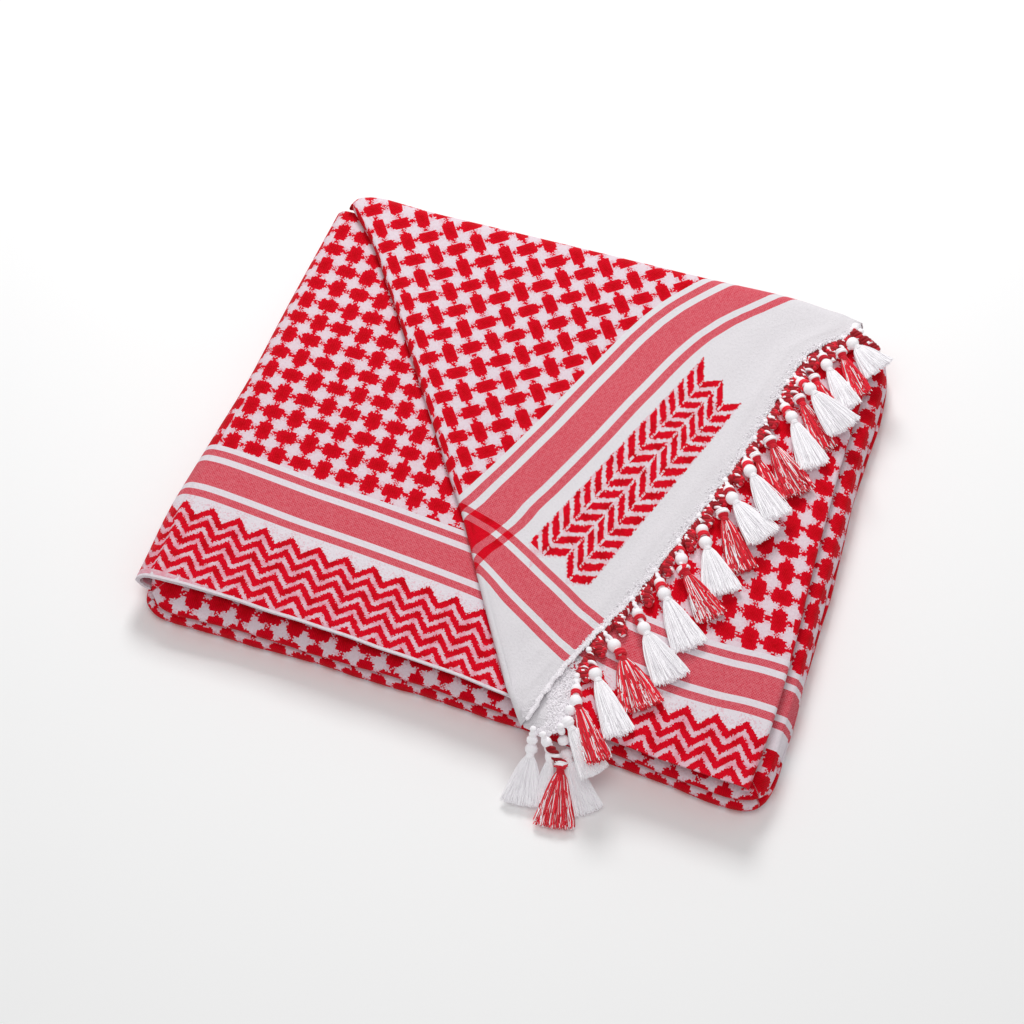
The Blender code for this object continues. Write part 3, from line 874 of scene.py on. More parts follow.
# ---------------------------------------------------------------- the turned-over corner
@dataclass
class TurnedCorner:
    """The corner turned over the top: two leaves joined by a soft rolled fold."""

    wall: float = 0.0010 / CHECK
    roll: float = 0.205  # radius of its rolled fold
    widest_roll: float = 0.30  # share of the leaf's width that the roll may take
    roll_share: float = 0.18
    leaf_points: int = 56
    edge_points: int = 24  # more points in the last of the leaf, for its looped edge
    edge_share: float = 0.94
    under_points: int = 34
    roll_points: int = 16
    stations: int = 240
    shoulder: float = 0.60
    shoulder_points: int = 12
    hanging: tuple[float, ...] = (0.06, 0.2, 0.4, 0.6, 0.8, 1.0, 1.15, 1.3, 1.42)
    clearance: float = 0.07
    band_rise: float = 0.045  # how high the soft ridge beside the hem stands
    band_at: float = 0.85  # how far in from the hem it lies
    band_width: float = 0.32
    trough_share: float = 0.6  # how deep the trough beyond it is, next to its height
    trough_at: float = 1.75
    trough_width: float = 0.5
    terry_rise: float = 0.035  # relief of the looped edge
    terry_band: float = 0.45  # how far in from the hem it reaches
    dimples: tuple[Ripple, Ripple] = (Ripple(0.016, 2.1, 0.7), Ripple(1.0, 1.1, -1.9))
    hem_waves: tuple[Ripple, Ripple] = (Ripple(0.05, 0.7, 1.9), Ripple(0.03, -1.0, 4.3))
    hem_edge: tuple[Ripple, Ripple] = (Ripple(0.03, 0.0, 7.3), Ripple(0.02, 0.0, 16.0))
    pull: float = 0.09  # how far each tassel draws the hem out
    pull_width: float = 0.16
    drop_start: float = 0.10
    drop_squared: float = 0.55
    drop_fourth: float = 0.25
    across: tuple[float, float] = (0.731, 0.609)  # the way of the checks' rows
    along: tuple[float, float] = (-0.635, 0.823)  # and of their columns
    blob: tuple[float, float] = (-3.86, 3.31)  # one red check's middle
    stripe_scale: float = 1.085
    zigzag_climb: float = 0.44  # how much further back a row lies for each column inwards
    gather: float = 0.62  # how far the checks run on over the rounded fold
    gather_width: float = 0.30
    hem_back: float = 10.4  # behind this y the hem hangs down the stack's back
    bared: float = -8.3  # the under leaf shows in front of this y
    bared_points: int = 14

    def covered_back(self, x: Array) -> Array:
        """Where the corner's inner face stands on the back of the stack."""
        line = spline(CORE_OUTLINE, 400, closed=True)
        line = line[line[:, 1] > 9.5]
        line = line[np.argsort(line[:, 0])]
        return np.interp(x, line[:, 0], line[:, 1]) + self.clearance

    def drop(self, x: Array, y: Array) -> Array:
        """How far it sinks where it passes the panel's front edge."""
        past = np.clip(soft_read(PANEL_LIP, x, 0.3) - self.drop_start - y, 0, None)
        return self.drop_squared * past**2 + self.drop_fourth * past**4

    def on_stack(self, x: Array, y: Array, up: Array) -> Array:
        """Points lying on the stack.

        Args:
            x: places to the right.
            y: places to the back.
            up: how far each is above the corner's underside.

        Returns:
            The points, as rows of three.
        """
        drop = self.drop(x, y)
        slope = np.minimum(1.6 * drop, 0.9)
        z = FLAP_BASE - drop + up * np.sqrt(1 - slope**2)
        return np.stack([x, y - slope * up, z], axis=-1)

    def leaf(self, fold: Array, hem: Array, roll: float,
             steps: Array) -> tuple[Array, Array]:
        """One leaf's line in plan, from the rolled fold to its hem.

        Args:
            fold: the fold's place in plan.
            hem: the leaf's hem.
            roll: the fold's radius, where the leaf starts.
            steps: how far along each point is, from 0 to 1.

        Returns:
            The points, and each one's share of the leaf's width.
        """
        width = np.linalg.norm(hem - fold)
        reach = roll + (width - roll) * steps
        return reach[:, None] * ((hem - fold) / width) + fold, reach / width

    def profile(self, fold: Array, hem: Array, under: Array,
                inset: float) -> tuple[Array, ...]:
        """Plan places and heights round one section of the doubled cloth.

        Args:
            fold: the fold's place in plan.
            hem: the upper leaf's hem.
            under: the under leaf's hem.
            inset: how far inside the outer face this line runs.

        Returns:
            x, y, height and which share of the upper leaf's width each point has.
        """
        width = np.linalg.norm(hem - fold)
        roll = min(self.roll, self.widest_roll * width)
        radius = roll - inset
        steps = np.concatenate([np.linspace(0, self.edge_share, self.leaf_points)[1:],
                                np.linspace(self.edge_share, 1, self.edge_points)[1:]])
        upper, share = self.leaf(fold, hem, roll, steps)
        lower, low_share = self.leaf(fold, under, roll, np.linspace(0, 1, self.under_points)[1:])
        turn = np.linspace(-pi / 2, -3 * pi / 2, self.roll_points)
        bend = fold + (roll + radius * np.cos(turn))[:, None] * ((hem - fold) / width)
        raised = (2 * roll - PACK) * (1 - smooth(share / self.roll_share)) * (2 * roll > PACK)
        plan = np.vstack([lower[::-1], bend, upper])
        height = np.concatenate([np.full(len(lower), inset), roll + radius * np.sin(turn),
                                 PACK + raised - inset])
        shares = np.concatenate([-low_share[::-1], np.linspace(-0.02, 0.02, len(turn)), share])
        return plan[:, 0], plan[:, 1], height, shares

    def grid(self, inset: float) -> tuple[Array, Array, Array]:
        """The corner's points, with the plan place that each has in the flat cloth.

        Args:
            inset: how far inside the outer face the points run.

        Returns:
            Points, flat plan places, and shares of the leaves' width.
        """
        rows = []
        start = FLAP_SECTIONS[0]
        fold, hem = np.array([start.fold_x, 0.0]), np.array([start.hem_x, 0.0])
        x, _, up, share = self.profile(fold, hem, hem, inset)
        wall_y = self.covered_back(x)
        shoulder_length = self.shoulder * pi / 2
        far = (1 - np.abs(share)) * (hem[0] - fold[0])
        edge = wall_y - self.shoulder
        for z in self.hanging:
            run = shoulder_length + FLAP_BASE - self.shoulder - z
            rows.append((np.column_stack([x, wall_y + up, np.full_like(x, z)]),
                         np.column_stack([x, edge + run, far]), share))
        for angle in np.linspace(0, 90, self.shoulder_points)[:-1]:
            a = radians(angle)
            radius = self.shoulder + up
            bent = [x, edge + radius * cos(a), FLAP_BASE - self.shoulder + radius * sin(a)]
            run = self.shoulder * (pi / 2 - a)
            rows.append((np.column_stack(bent), np.column_stack([x, edge + run, far]), share))
        for row in spline(FLAP_SECTIONS, self.stations):
            section = Section(*row)
            fold, hem = np.array(section[0:2]), np.array(section[2:4])
            x, y, up, share = self.profile(fold, hem, np.array(section[4:6]), inset)
            far = (1 - np.abs(share)) * np.linalg.norm(hem - fold)
            rows.append((self.on_stack(x, y, up), np.column_stack([x, y, far]), share))
        points, flats, shares = (np.array(part) for part in zip(*rows))
        return points, flats, shares

    def upper_edge(self) -> tuple[Array, Array]:
        """The upper leaf's outside beside its hem: places and flat places."""
        outer, flats, shares = self.grid(0.0)
        outer = self.softened(outer, flats, shares)
        rows = outer[:, -1, 1] < self.hem_back
        columns = slice(-self.edge_points - 1, None)
        return outer[rows][:, columns], flats[rows][:, columns]

    def tip_bed(self) -> tuple[Array, Array]:
        """The under leaf's bared top near the tip: places and flat places."""
        inner, flats, shares = self.grid(self.wall)
        inner = self.softened(inner, flats, shares)
        rows = (flats[:, 0, 1] < self.bared) & (inner[:, 0, 1] < self.bared)
        columns = slice(0, self.bared_points)
        return inner[rows][:, columns], flats[rows][:, columns]

    def softened(self, points: Array, flats: Array, shares: Array) -> Array:
        """The points with the cloth's ridges, troughs and uneven hem.

        Args:
            points: the outside or the inside.
            flats: each point's plan place in the flat cloth, and its way in from the hem.
            shares: each point's share of its leaf's width.

        Returns:
            The moved points.
        """
        x, y = flats[..., 0], flats[..., 1]
        shown = smooth(shares / 0.05)
        inside = 1 - smooth(self.drop(x, y) / 0.4)
        on_top = smooth((10.6 - y) / 0.8)
        lift = ground(x, y) * inside * on_top
        own = lift_of(CORNER_CREASES, x, y) * shown
        near = flats[..., 2]
        own += self.band_rise * bell(near, self.band_at, self.band_width) * shown
        own -= self.trough_share * self.band_rise * bell(near, self.trough_at, self.trough_width) * shown
        soft = self.dimples[0].at(x, y) * self.dimples[1].at(x, y) * shown
        free = (1 - smooth(near / 0.5)) * shown * on_top
        waves = self.hem_waves[0].at(x, y) + self.hem_waves[1].at(x, y)
        loops = np.sin(17 * y + 5 * x) * np.sin(23 * near + 9 * y)
        terry = self.terry_rise * loops * (near < self.terry_band)
        points = points.copy()
        points[..., 2] += lift + own + soft * on_top + (np.abs(waves) + terry) * free
        outward = flats[:, -1, :2] - flats[:, -2, :2]
        outward /= np.linalg.norm(outward, axis=1, keepdims=True)
        ragged = self.hem_edge[0].at(x[:, -1], y[:, -1]) + self.hem_edge[1].at(x[:, -1], y[:, -1])
        for tassel in TASSELS:
            gap = np.hypot(flats[:, -1, 0] - tassel.root_x, flats[:, -1, 1] - tassel.root_y)
            ragged = ragged + self.pull * bell(gap, 0.0, self.pull_width)
        pulled = ragged[:, None] * (1 - smooth(near / 0.35)) * shown
        points[..., :2] += outward[:, None] * pulled[..., None]
        return points

    def zigzag_columns(self, x: Array, y: Array) -> Array:
        """How many zigzag columns lie between the first line and each place.

        Args:
            x: places to the right.
            y: places to the back.

        Returns:
            The columns, with parts of one.
        """
        lines = [line.x + line.lean * y for line in ZIGZAG_LINES]
        spans = [after - before for before, after in zip(lines, lines[1:])]
        p = np.minimum((x - lines[0]) / spans[0], 0) + np.maximum((x - lines[-1]) / spans[-1], 0)
        for before, span in zip(lines, spans):
            p = p + np.clip((x - before) / span, 0, 1)
        return p

    def maps(self, flats: Array, shares: Array) -> Maps:
        """The woven coordinates, from each place's spot in plan.

        Args:
            flats: each point's plan place in the flat cloth, and its way in from the hem.
            shares: each point's share of its leaf's width.

        Returns:
            The coordinates of each point.
        """
        x, y = flats[..., 0], flats[..., 1]
        inwards = flats[:, -1, :2] - flats[:, len(flats[0]) // 2, :2]
        inwards /= np.linalg.norm(inwards, axis=1, keepdims=True)
        from_fold = flats[..., 2] * np.abs(shares) / np.maximum(1 - np.abs(shares), 0.01)
        run_on = self.gather * bell(from_fold, 0.0, self.gather_width)
        dx = x - self.blob[0] - inwards[:, :1] * run_on
        dy = y - self.blob[1] - inwards[:, 1:] * run_on
        area = self.across[0] * self.along[1] - self.across[1] * self.along[0]
        i = (self.along[1] * dx - self.along[0] * dy) / area
        j = (-self.across[1] * dx + self.across[0] * dy) / area
        line, ahead, behind = (read(CORNER_BORDER, y + step) for step in (0.0, 0.5, -0.5))
        a = (x - line) / np.sqrt(1 + (ahead - behind) ** 2)
        crossing = soft_read(CORNER_CROSSING, x)
        slope = soft_read(CORNER_CROSSING, x + 0.5) - soft_read(CORNER_CROSSING, x - 0.5)
        b = (crossing - y) / np.sqrt(1 + slope**2)
        p = self.zigzag_columns(x, y)
        level = y - self.zigzag_climb * (len(ZIGZAG_LINES) - 1 - p)
        q = read(ZIGZAG_ROWS, level)
        return {
            Weave.CHECKS: pair(i + 1, j),
            Weave.BORDER: pair(a / self.stripe_scale, b),
            Weave.CHEVRON: pair(p, q),
            Weave.HEM: pair(flats[..., 2], y),
        }

    def build(self) -> Cloth:
        """Builds the thin shell of both leaves."""
        outer, flats, shares = self.grid(0.0)
        inner = self.grid(self.wall)[0]
        outer, inner = (self.softened(p, flats, shares) for p in (outer, inner))
        piece = make_shell("corner_cloth", outer, inner, self.maps(flats, shares))
        return Cloth(piece, (0.36, 0.36))


# ---------------------------------------------------------------- node trees
Value = Any  # a Signal, or a constant
Ports = dict[str, str]
Colour = tuple[float, float, float, float]
NUMBER, WHOLE, PLACE, SHAPE = (f"NodeSocket{kind}" for kind in ("Float", "Int", "Vector", "Geometry"))


def srgb(red: int, green: int, blue: int) -> Colour:
    """A colour given as it shows, from 0 to 255, as the linear values that shaders take."""
    shown = (red / 255, green / 255, blue / 255)
    linear = [c / 12.92 if c <= 0.04045 else ((c + 0.055) / 1.055) ** 2.4 for c in shown]
    return (linear[0], linear[1], linear[2], 1.0)


def operation(name: str, swapped: bool = False) -> Callable[..., "Signal"]:
    """A method that joins a signal to further values by one Math node for each.

    Args:
        name: the node's operation.
        swapped: whether the other value comes first.

    Returns:
        The method.
    """
    def act(first: "Signal", *others: Value) -> "Signal":
        """The outcome of the last node."""
        for other in others:
            first = first.graph.math(name, *((other, first) if swapped else (first, other)))
        return first
    return act


@dataclass(frozen=True, eq=False)
class Signal:
    """One output of a node, whose arithmetic adds further nodes to its graph."""

    graph: "Graph"
    socket: NodeSocket

    __add__, __radd__ = operation("ADD"), operation("ADD", swapped=True)
    __sub__, __rsub__ = operation("SUBTRACT"), operation("SUBTRACT", swapped=True)
    __mul__, __rmul__ = operation("MULTIPLY"), operation("MULTIPLY", swapped=True)
    __truediv__, __mod__ = operation("DIVIDE"), operation("FLOORED_MODULO")
    __gt__, __lt__ = operation("GREATER_THAN"), operation("LESS_THAN")
    most, least = operation("MAXIMUM"), operation("MINIMUM")

    def math(self, name: str, *others: Value, clamp: bool = False) -> "Signal":
        """The outcome of one Math node that starts from this signal."""
        return self.graph.math(name, self, *others, clamp=clamp)

    def within(self, low: float, high: float) -> "Signal":
        """1 between the two edges, else 0."""
        return (self > low) * (self < high)


@dataclass
class Graph:
    """Adds nodes to one node tree and links them."""

    tree: NodeTree

    def feed(self, socket: NodeSocket, value: Value) -> None:
        """Links a signal into a socket, or sets its constant.

        Args:
            socket: an input.
            value: what feeds it.
        """
        if isinstance(value, Signal):
            self.tree.links.new(value.socket, socket)
        else:
            socket.default_value = value

    def node(self, kind: str, inputs: dict[str, Value] | None = None,
             **settings: Any) -> bpy.types.Node:
        """A new node.

        Args:
            kind: its type.
            inputs: what feeds it, by its sockets' names.
            settings: its properties.

        Returns:
            The node.
        """
        made = self.tree.nodes.new(kind)
        for name, value in settings.items():
            setattr(made, name, value)
        for name, value in (inputs or {}).items():
            self.feed(next(s for s in made.inputs if s.name == name and s.enabled), value)
        return made

    def first(self, kind: str, inputs: dict[str, Value] | None = None, **settings: Any) -> Signal:
        """The first live output of a new node, which is made as node() makes it."""
        made = self.node(kind, inputs, **settings)
        return Signal(self, next(s for s in made.outputs if s.enabled))

    def signals(self, node: bpy.types.Node) -> dict[str, Signal]:
        """A node's outputs by their names."""
        return {socket.name: Signal(self, socket) for socket in node.outputs}

    def math(self, name: str, *values: Value, clamp: bool = False) -> Signal:
        """The outcome of one Math node.

        Args:
            name: its operation.
            values: what feeds it, in order.
            clamp: whether the outcome is kept between 0 and 1.

        Returns:
            Its output.
        """
        made = self.node("ShaderNodeMath", operation=name, use_clamp=clamp)
        for socket, value in zip(made.inputs, values):
            self.feed(socket, value)
        return Signal(self, made.outputs[0])

    def mix(self, factor: Value, first: Value, second: Value) -> Signal:
        """One colour blended into another."""
        inputs = {"Factor": factor, "A": first, "B": second}
        return self.first("ShaderNodeMix", inputs, data_type="RGBA")

    def split(self, vector: Value) -> tuple[Signal, Signal]:
        """The first two parts of a vector."""
        parts = self.signals(self.node("ShaderNodeSeparateXYZ", {"Vector": vector}))
        return parts["X"], parts["Y"]

    def join(self, x: Value, y: Value, z: Value = 0.0) -> Signal:
        """A vector of these parts."""
        return self.first("ShaderNodeCombineXYZ", {"X": x, "Y": y, "Z": z})

    def random(self, x: Value, y: Value, seed: float) -> Signal:
        """A random value from 0 to 1 for each place, even over whole numbers."""
        inputs = {"Vector": self.join(x, y, seed)}
        return self.first("ShaderNodeTexWhiteNoise", inputs, noise_dimensions="3D")

    def noise(self, vector: Value, scale: float, detail: float = 2.0) -> Signal:
        """Smooth noise from 0 to 1."""
        inputs = {"Vector": vector, "Scale": scale, "Detail": detail}
        return self.first("ShaderNodeTexNoise", inputs)

    def group(self, tree: NodeTree, **inputs: Value) -> dict[str, Signal]:
        """The outputs of a node that holds another tree, with its inputs fed by name."""
        fed = {name.capitalize(): value for name, value in inputs.items()}
        return self.signals(self.node("ShaderNodeGroup", fed, node_tree=tree))

    def result(self, outputs: dict[str, Value]) -> NodeTree:
        """Feeds a group's outputs by their names and gives the finished tree."""
        self.node("NodeGroupOutput", outputs)
        return self.tree


def ports(*names: str) -> Ports:
    """Sockets that carry plain numbers."""
    return dict.fromkeys(names, NUMBER)


def new_group(kind: str, name: str, inputs: Ports,
              outputs: Ports) -> tuple[Graph, dict[str, Signal]]:
    """Starts a node group.

    Args:
        kind: its type of tree.
        name: its name.
        inputs: each input's name and socket type.
        outputs: each output's name and socket type.

    Returns:
        The graph to build in, and the group's inputs by name.
    """
    tree = bpy.data.node_groups.new(name, kind)
    for side, sockets in (("INPUT", inputs), ("OUTPUT", outputs)):
        for label, socket_type in sockets.items():
            tree.interface.new_socket(label, in_out=side, socket_type=socket_type)
    graph = Graph(tree)
    return graph, graph.signals(graph.node("NodeGroupInput"))


# ---------------------------------------------------------------- the woven pattern
@dataclass(frozen=True)
class Motif:
    """The sizes of the woven checks, as shares of one check."""

    threads: int = 18
    wide: tuple[float, float] = (0.40, 0.30)  # every other blob's half sizes
    tall: tuple[float, float] = (0.30, 0.42)  # and those of the blobs between
    corner: float = 1.75  # how square a blob's corners are
    gap: float = 0.055  # how far a link's middle stands off from halfway between blobs
    streaks: float = 12.0  # darker streaks in one check
    slant: float = 0.7  # how far the streaks lean
    waver: float = 2.0  # and how far they wander
    link: float = 0.07  # half width of the thin links between blobs
    link_share: float = 0.36  # how many threads of a link stay white
    knot: float = 0.125  # half size of the denser knot on each link
    knot_share: float = 0.62  # how many threads of a knot stay white
    ragged: float = 0.13  # how far a blob's edge strays from thread to thread
    halo: float = 2.6  # one over how far the pink threads reach from a link

    def group(self) -> NodeTree:
        """Returns:
            The finished group.
        """
        graph, given = new_group(
            "ShaderNodeTree", "Woven checks", {"Place": PLACE, **ports("Growth", "Stretch")},
            ports("Red", "Thread", "Fleck", "Checker", "Streak", "Halo", "Depth"),
        )
        u, v = graph.split(given["Place"])
        count = float(self.threads)
        column, row = (u * count).math("FLOOR"), (v * count).math("FLOOR")
        thread, fleck = graph.random(column, row, 1.0), graph.random(column, row, 2.0)
        soft_u, soft_v = (column + 0.5) / count, (row + 0.5) / count
        cell_u, cell_v = soft_u.math("ROUND"), soft_v.math("ROUND")
        fu, fv = (soft_u - cell_u).math("ABSOLUTE"), (soft_v - cell_v).math("ABSOLUTE")
        nearest = fu.least(fv)
        odd = (cell_u + cell_v) % 2.0 > 0.5
        longer = given["Stretch"] * odd.math("MULTIPLY_ADD", -2.0, 1.0)
        half_u = odd * (self.tall[0] - self.wide[0]) + self.wide[0] + longer
        half_v = odd * (self.tall[1] - self.wide[1]) + self.wide[1] - longer
        near_u, near_v = fu / half_u, fv / half_v
        reach = near_u.most(near_v, (near_u + near_v) / self.corner)
        blob = reach + (thread - 0.5) * self.ragged < given["Growth"]
        lines = (nearest < self.link) * (fleck > self.link_share)
        shift = self.gap - odd * (2 * self.gap)
        away_u = (fu - (shift + 0.5)).math("ABSOLUTE")
        away_v = (fv - (0.5 - shift)).math("ABSOLUTE")
        knots = (away_u.most(fv) < self.knot).most(away_v.most(fu) < self.knot)
        checker = (column + row) % 2.0
        links = lines.most(knots * (checker + fleck > self.knot_share))
        slant = u * self.streaks + v * (self.slant * self.streaks)
        slant = slant + graph.noise(given["Place"], 3.0) * self.waver
        return graph.result({
            "Red": blob.most(links), "Thread": thread, "Fleck": fleck, "Checker": checker,
            "Streak": slant.math("PINGPONG", 0.5),
            "Halo": 1.0 - nearest.math("MULTIPLY", self.halo, clamp=True),
            "Depth": given["Growth"].math("SUBTRACT", reach, clamp=True),
        })


@dataclass(frozen=True)
class Stripes:
    """Where the border's three stripes lie, in checks past its first edge."""

    first: tuple[float, float] = (0.0, 0.31)
    broad: tuple[float, float] = (0.60, 1.75)
    last: tuple[float, float] = (2.04, 2.37)

    def group(self) -> NodeTree:
        """The group that says where one set of border stripes lies."""
        graph, given = new_group("ShaderNodeTree", "Border stripes", ports("Past"), ports("Stripe"))
        first, *others = (given["Past"].within(*edges) for edges in (self.first, self.broad, self.last))
        return graph.result({"Stripe": first.most(*others)})


@dataclass(frozen=True)
class ZigzagStyle:
    """How one piece's zigzags are laid out, with the group that draws any of them."""

    depth: float  # rows climbed from one turn to the next
    share: float  # how much of a row is red
    width: float  # half turns in a row
    rows: float
    cut: float  # nothing shows past this row
    extra: float  # how many more rows the first half turn has
    nick: float  # more threads are left out at a turn the higher this is
    ragged: float  # how far an edge strays from thread to thread
    steps: float  # threads in a half turn

    TURN = 0.045  # how near its turns a line may be nicked
    HAZE = 0.8  # how fast the stray threads thin out before the first row

    @classmethod
    def group(cls) -> NodeTree:
        """The group that says where rows of zigzags are red.

        Returns:
            The finished group, whose inputs are named as the fields are.
        """
        graph, given = new_group(
            "ShaderNodeTree", "Zigzag rows",
            {"Place": PLACE, **ports("Depth", "Share", "Width", "Rows", "Cut", "Extra", "Nick",
                                     "Ragged", "Steps")},
            ports("Red", "Ground", "Haze"),
        )
        p, q = graph.split(given["Place"])
        steps = given["Steps"]
        column, row = (p * steps).math("FLOOR"), (q * steps).math("FLOOR")
        loose = graph.random(column, row, 3.0) - 0.5
        p = (column + 0.5) / steps
        w = (row + 0.5) / steps - p.math("PINGPONG", 1.0) * given["Depth"]
        w = w + loose * given["Ragged"] + given["Share"] * 0.5
        bar = (w + 8.0).math("FRACT") < given["Share"]
        from_turn = (p - p.math("ROUND")).math("ABSOLUTE")
        nick = (from_turn < cls.TURN) * (loose < given["Nick"])
        rows = (w > 0.0) * (w - (p < 1.0) * given["Extra"] < given["Rows"])
        room = (p > 0.0) * (p < given["Width"])
        haze = w.math("MULTIPLY_ADD", cls.HAZE, 1.0, clamp=True)
        return graph.result({
            "Red": bar * rows * room * (q < given["Cut"]) * (1.0 - nick),
            "Ground": rows * room,
            "Haze": haze * haze * room * (w < given["Rows"]),
        })


ENDLESS = 1000.0  # a limit that no row reaches
PANEL_ZIGZAG = ZigzagStyle(0.95, 0.60, ENDLESS, 5.9, 5.5, 0.0, -0.6, 0.14, 14.0)
CORNER_ZIGZAG = ZigzagStyle(1.13, 0.64, 4.0, 15.8, ENDLESS, 1.0, 0.1, 0.13, 13.0)


@dataclass(frozen=True)
class PatternGroups:
    """The shader groups that all cloth shares."""

    checks: NodeTree
    stripes: NodeTree
    chevrons: NodeTree

    @classmethod
    def build(cls) -> "PatternGroups":
        """Builds the shared groups once."""
        return cls(Motif().group(), Stripes().group(), ZigzagStyle.group())


def surface(name: str) -> tuple[Material, Graph]:
    """A new material and the graph to build it in."""
    made = bpy.data.materials.new(name)
    made.use_nodes = True
    return made, Graph(made.node_tree)


def cover(graph: Graph, colour: Signal, value: Signal, height: Signal, bump: tuple[float, float],
          **constants: float) -> bpy.types.ShaderNodeBsdfPrincipled:
    """Feeds a material's shader.

    Args:
        graph: the material's graph.
        colour: its colour.
        value: how light each place of that colour is.
        height: its relief.
        bump: the relief's strength, and its height in metres.
        constants: the shader's plain sockets, by their names in small letters.

    Returns:
        The shader node.
    """
    shader = graph.tree.nodes["Principled BSDF"]
    shade = graph.first("ShaderNodeHueSaturation", {"Value": value, "Color": colour})
    graph.feed(shader.inputs["Base Color"], shade)
    for socket in shader.inputs:
        if (label := socket.name.lower().replace(" ", "_")) in constants:
            socket.default_value = constants[label]
    relief = {"Strength": bump[0], "Distance": bump[1], "Height": height}
    graph.feed(shader.inputs["Normal"], graph.first("ShaderNodeBump", relief))
    return shader


@dataclass(frozen=True)
class Finish:
    """The colours and the surface of one cloth."""

    white: Colour
    field_white: Colour
    pink: Colour
    red: Colour
    deep_red: Colour
    stripe: Colour
    pale: Colour
    zigzag: ZigzagStyle
    growth: float = 1.03
    stretch: float = 0.0  # how much longer and thinner its checks are
    selvedge: float = 0.11
    field_end: float = -0.24
    roughness: float = 0.92
    sheen: float = 0.06
    gloss: float = 0.04
    terry: float = 100.0  # one over the width of the looped band at the hem
    tint: float = 1.0  # how pink the ground between zigzags is
    haze: float = 0.0  # how many pink threads stray past the zigzags
    bump: tuple[float, float] = (0.6, 0.0009)

    def material(self, name: str, groups: PatternGroups) -> Material:
        """Woven cotton with the checks, stripes and zigzags of the piece's UV maps.

        Args:
            name: the material's name.
            groups: the shared pattern groups.

        Returns:
            The finished material.
        """
        made, graph = surface(name)
        places = {kind: graph.first("ShaderNodeUVMap", uv_map=kind.value) for kind in Weave}
        a, b = graph.split(places[Weave.BORDER])
        edge = graph.split(places[Weave.HEM])[0]
        checks = graph.group(groups.checks, place=places[Weave.CHECKS], growth=self.growth,
                             stretch=self.stretch)
        chevrons = graph.group(groups.chevrons, place=places[Weave.CHEVRON], **asdict(self.zigzag))
        set_a, set_b = (graph.group(groups.stripes, past=past)["Stripe"] for past in (a, b))
        clear_of_b = b < self.field_end
        in_field = (a < self.field_end) * clear_of_b
        thread, fleck, streak = checks["Thread"], checks["Fleck"], checks["Streak"]
        solid = (checks["Red"] * in_field).most(chevrons["Red"] * clear_of_b)
        fine = graph.noise(places[Weave.CHECKS], 9.0, 3.0)
        near = checks["Halo"].most(chevrons["Ground"] * 0.36)
        pinkness = (near * 0.95 + fleck * 0.7 - 0.58).math("MINIMUM", 0.8, clamp=True)
        patterned = in_field.most(chevrons["Ground"] * self.tint)
        white = graph.mix(patterned, self.white, graph.mix(pinkness, self.field_white, self.pink))
        strays = chevrons["Haze"] * self.haze > fleck
        white = graph.mix(strays * 0.32, white, self.pink)
        dark = thread * 0.3 + streak * 1.5 + checks["Depth"] * 0.6 - 0.2
        red = graph.mix(dark.math("MINIMUM", 1.0, clamp=True), self.red, self.deep_red)
        light = checks["Checker"] * 0.34 + thread * 0.3
        colour = graph.mix(set_a.most(set_b), white, graph.mix(light, self.stripe, self.pale))
        colour = graph.mix(set_a * set_b, colour, red)
        colour = graph.mix(solid, colour, red)
        colour = graph.mix(edge > self.selvedge, self.white, colour)
        value = fine * 0.14 + 0.91 + streak * 0.06
        loops = graph.noise(places[Weave.HEM], 11.0, 2.0)
        terry = (1.0 - edge.math("MULTIPLY", self.terry, clamp=True)) * loops
        height = thread * 0.6 + solid * 0.9 + fine * 0.8 + terry * 4.5
        cover(graph, colour, value, height, self.bump, roughness=self.roughness,
              sheen_weight=self.sheen, specular_ior_level=self.gloss)
        return made


STACK_FINISH = Finish(
    white=srgb(231, 221, 228), field_white=srgb(230, 209, 218), pink=srgb(226, 130, 150),
    red=srgb(229, 8, 38), deep_red=srgb(186, 0, 14), stripe=srgb(207, 58, 74),
    pale=srgb(230, 140, 150), zigzag=PANEL_ZIGZAG, haze=0.5,
)
CORE_FINISH = replace(STACK_FINISH, growth=1.05)
CORNER_FINISH = replace(
    STACK_FINISH, white=srgb(227, 223, 227), field_white=srgb(228, 211, 220), zigzag=CORNER_ZIGZAG,
    selvedge=0.0, terry=1.6, tint=0.6, haze=0.0, stretch=0.020,
)


# ---------------------------------------------------------------- yarn
RED_SHARE = "red_share"  # a point's share of red yarn
TONE = "tone"  # how light its strand is
UP = np.array([0.0, 0.0, 1.0])


def ring(way: Array, turn: Array) -> Array:
    """Points at radius 1 round a direction.

    Args:
        way: the direction, of length 1.
        turn: each point's turn round it.

    Returns:
        The points, as rows of three.
    """
    side = np.cross(way, UP)
    side /= np.linalg.norm(side)
    return side * np.cos(turn)[:, None] + np.cross(side, way) * np.sin(turn)[:, None]


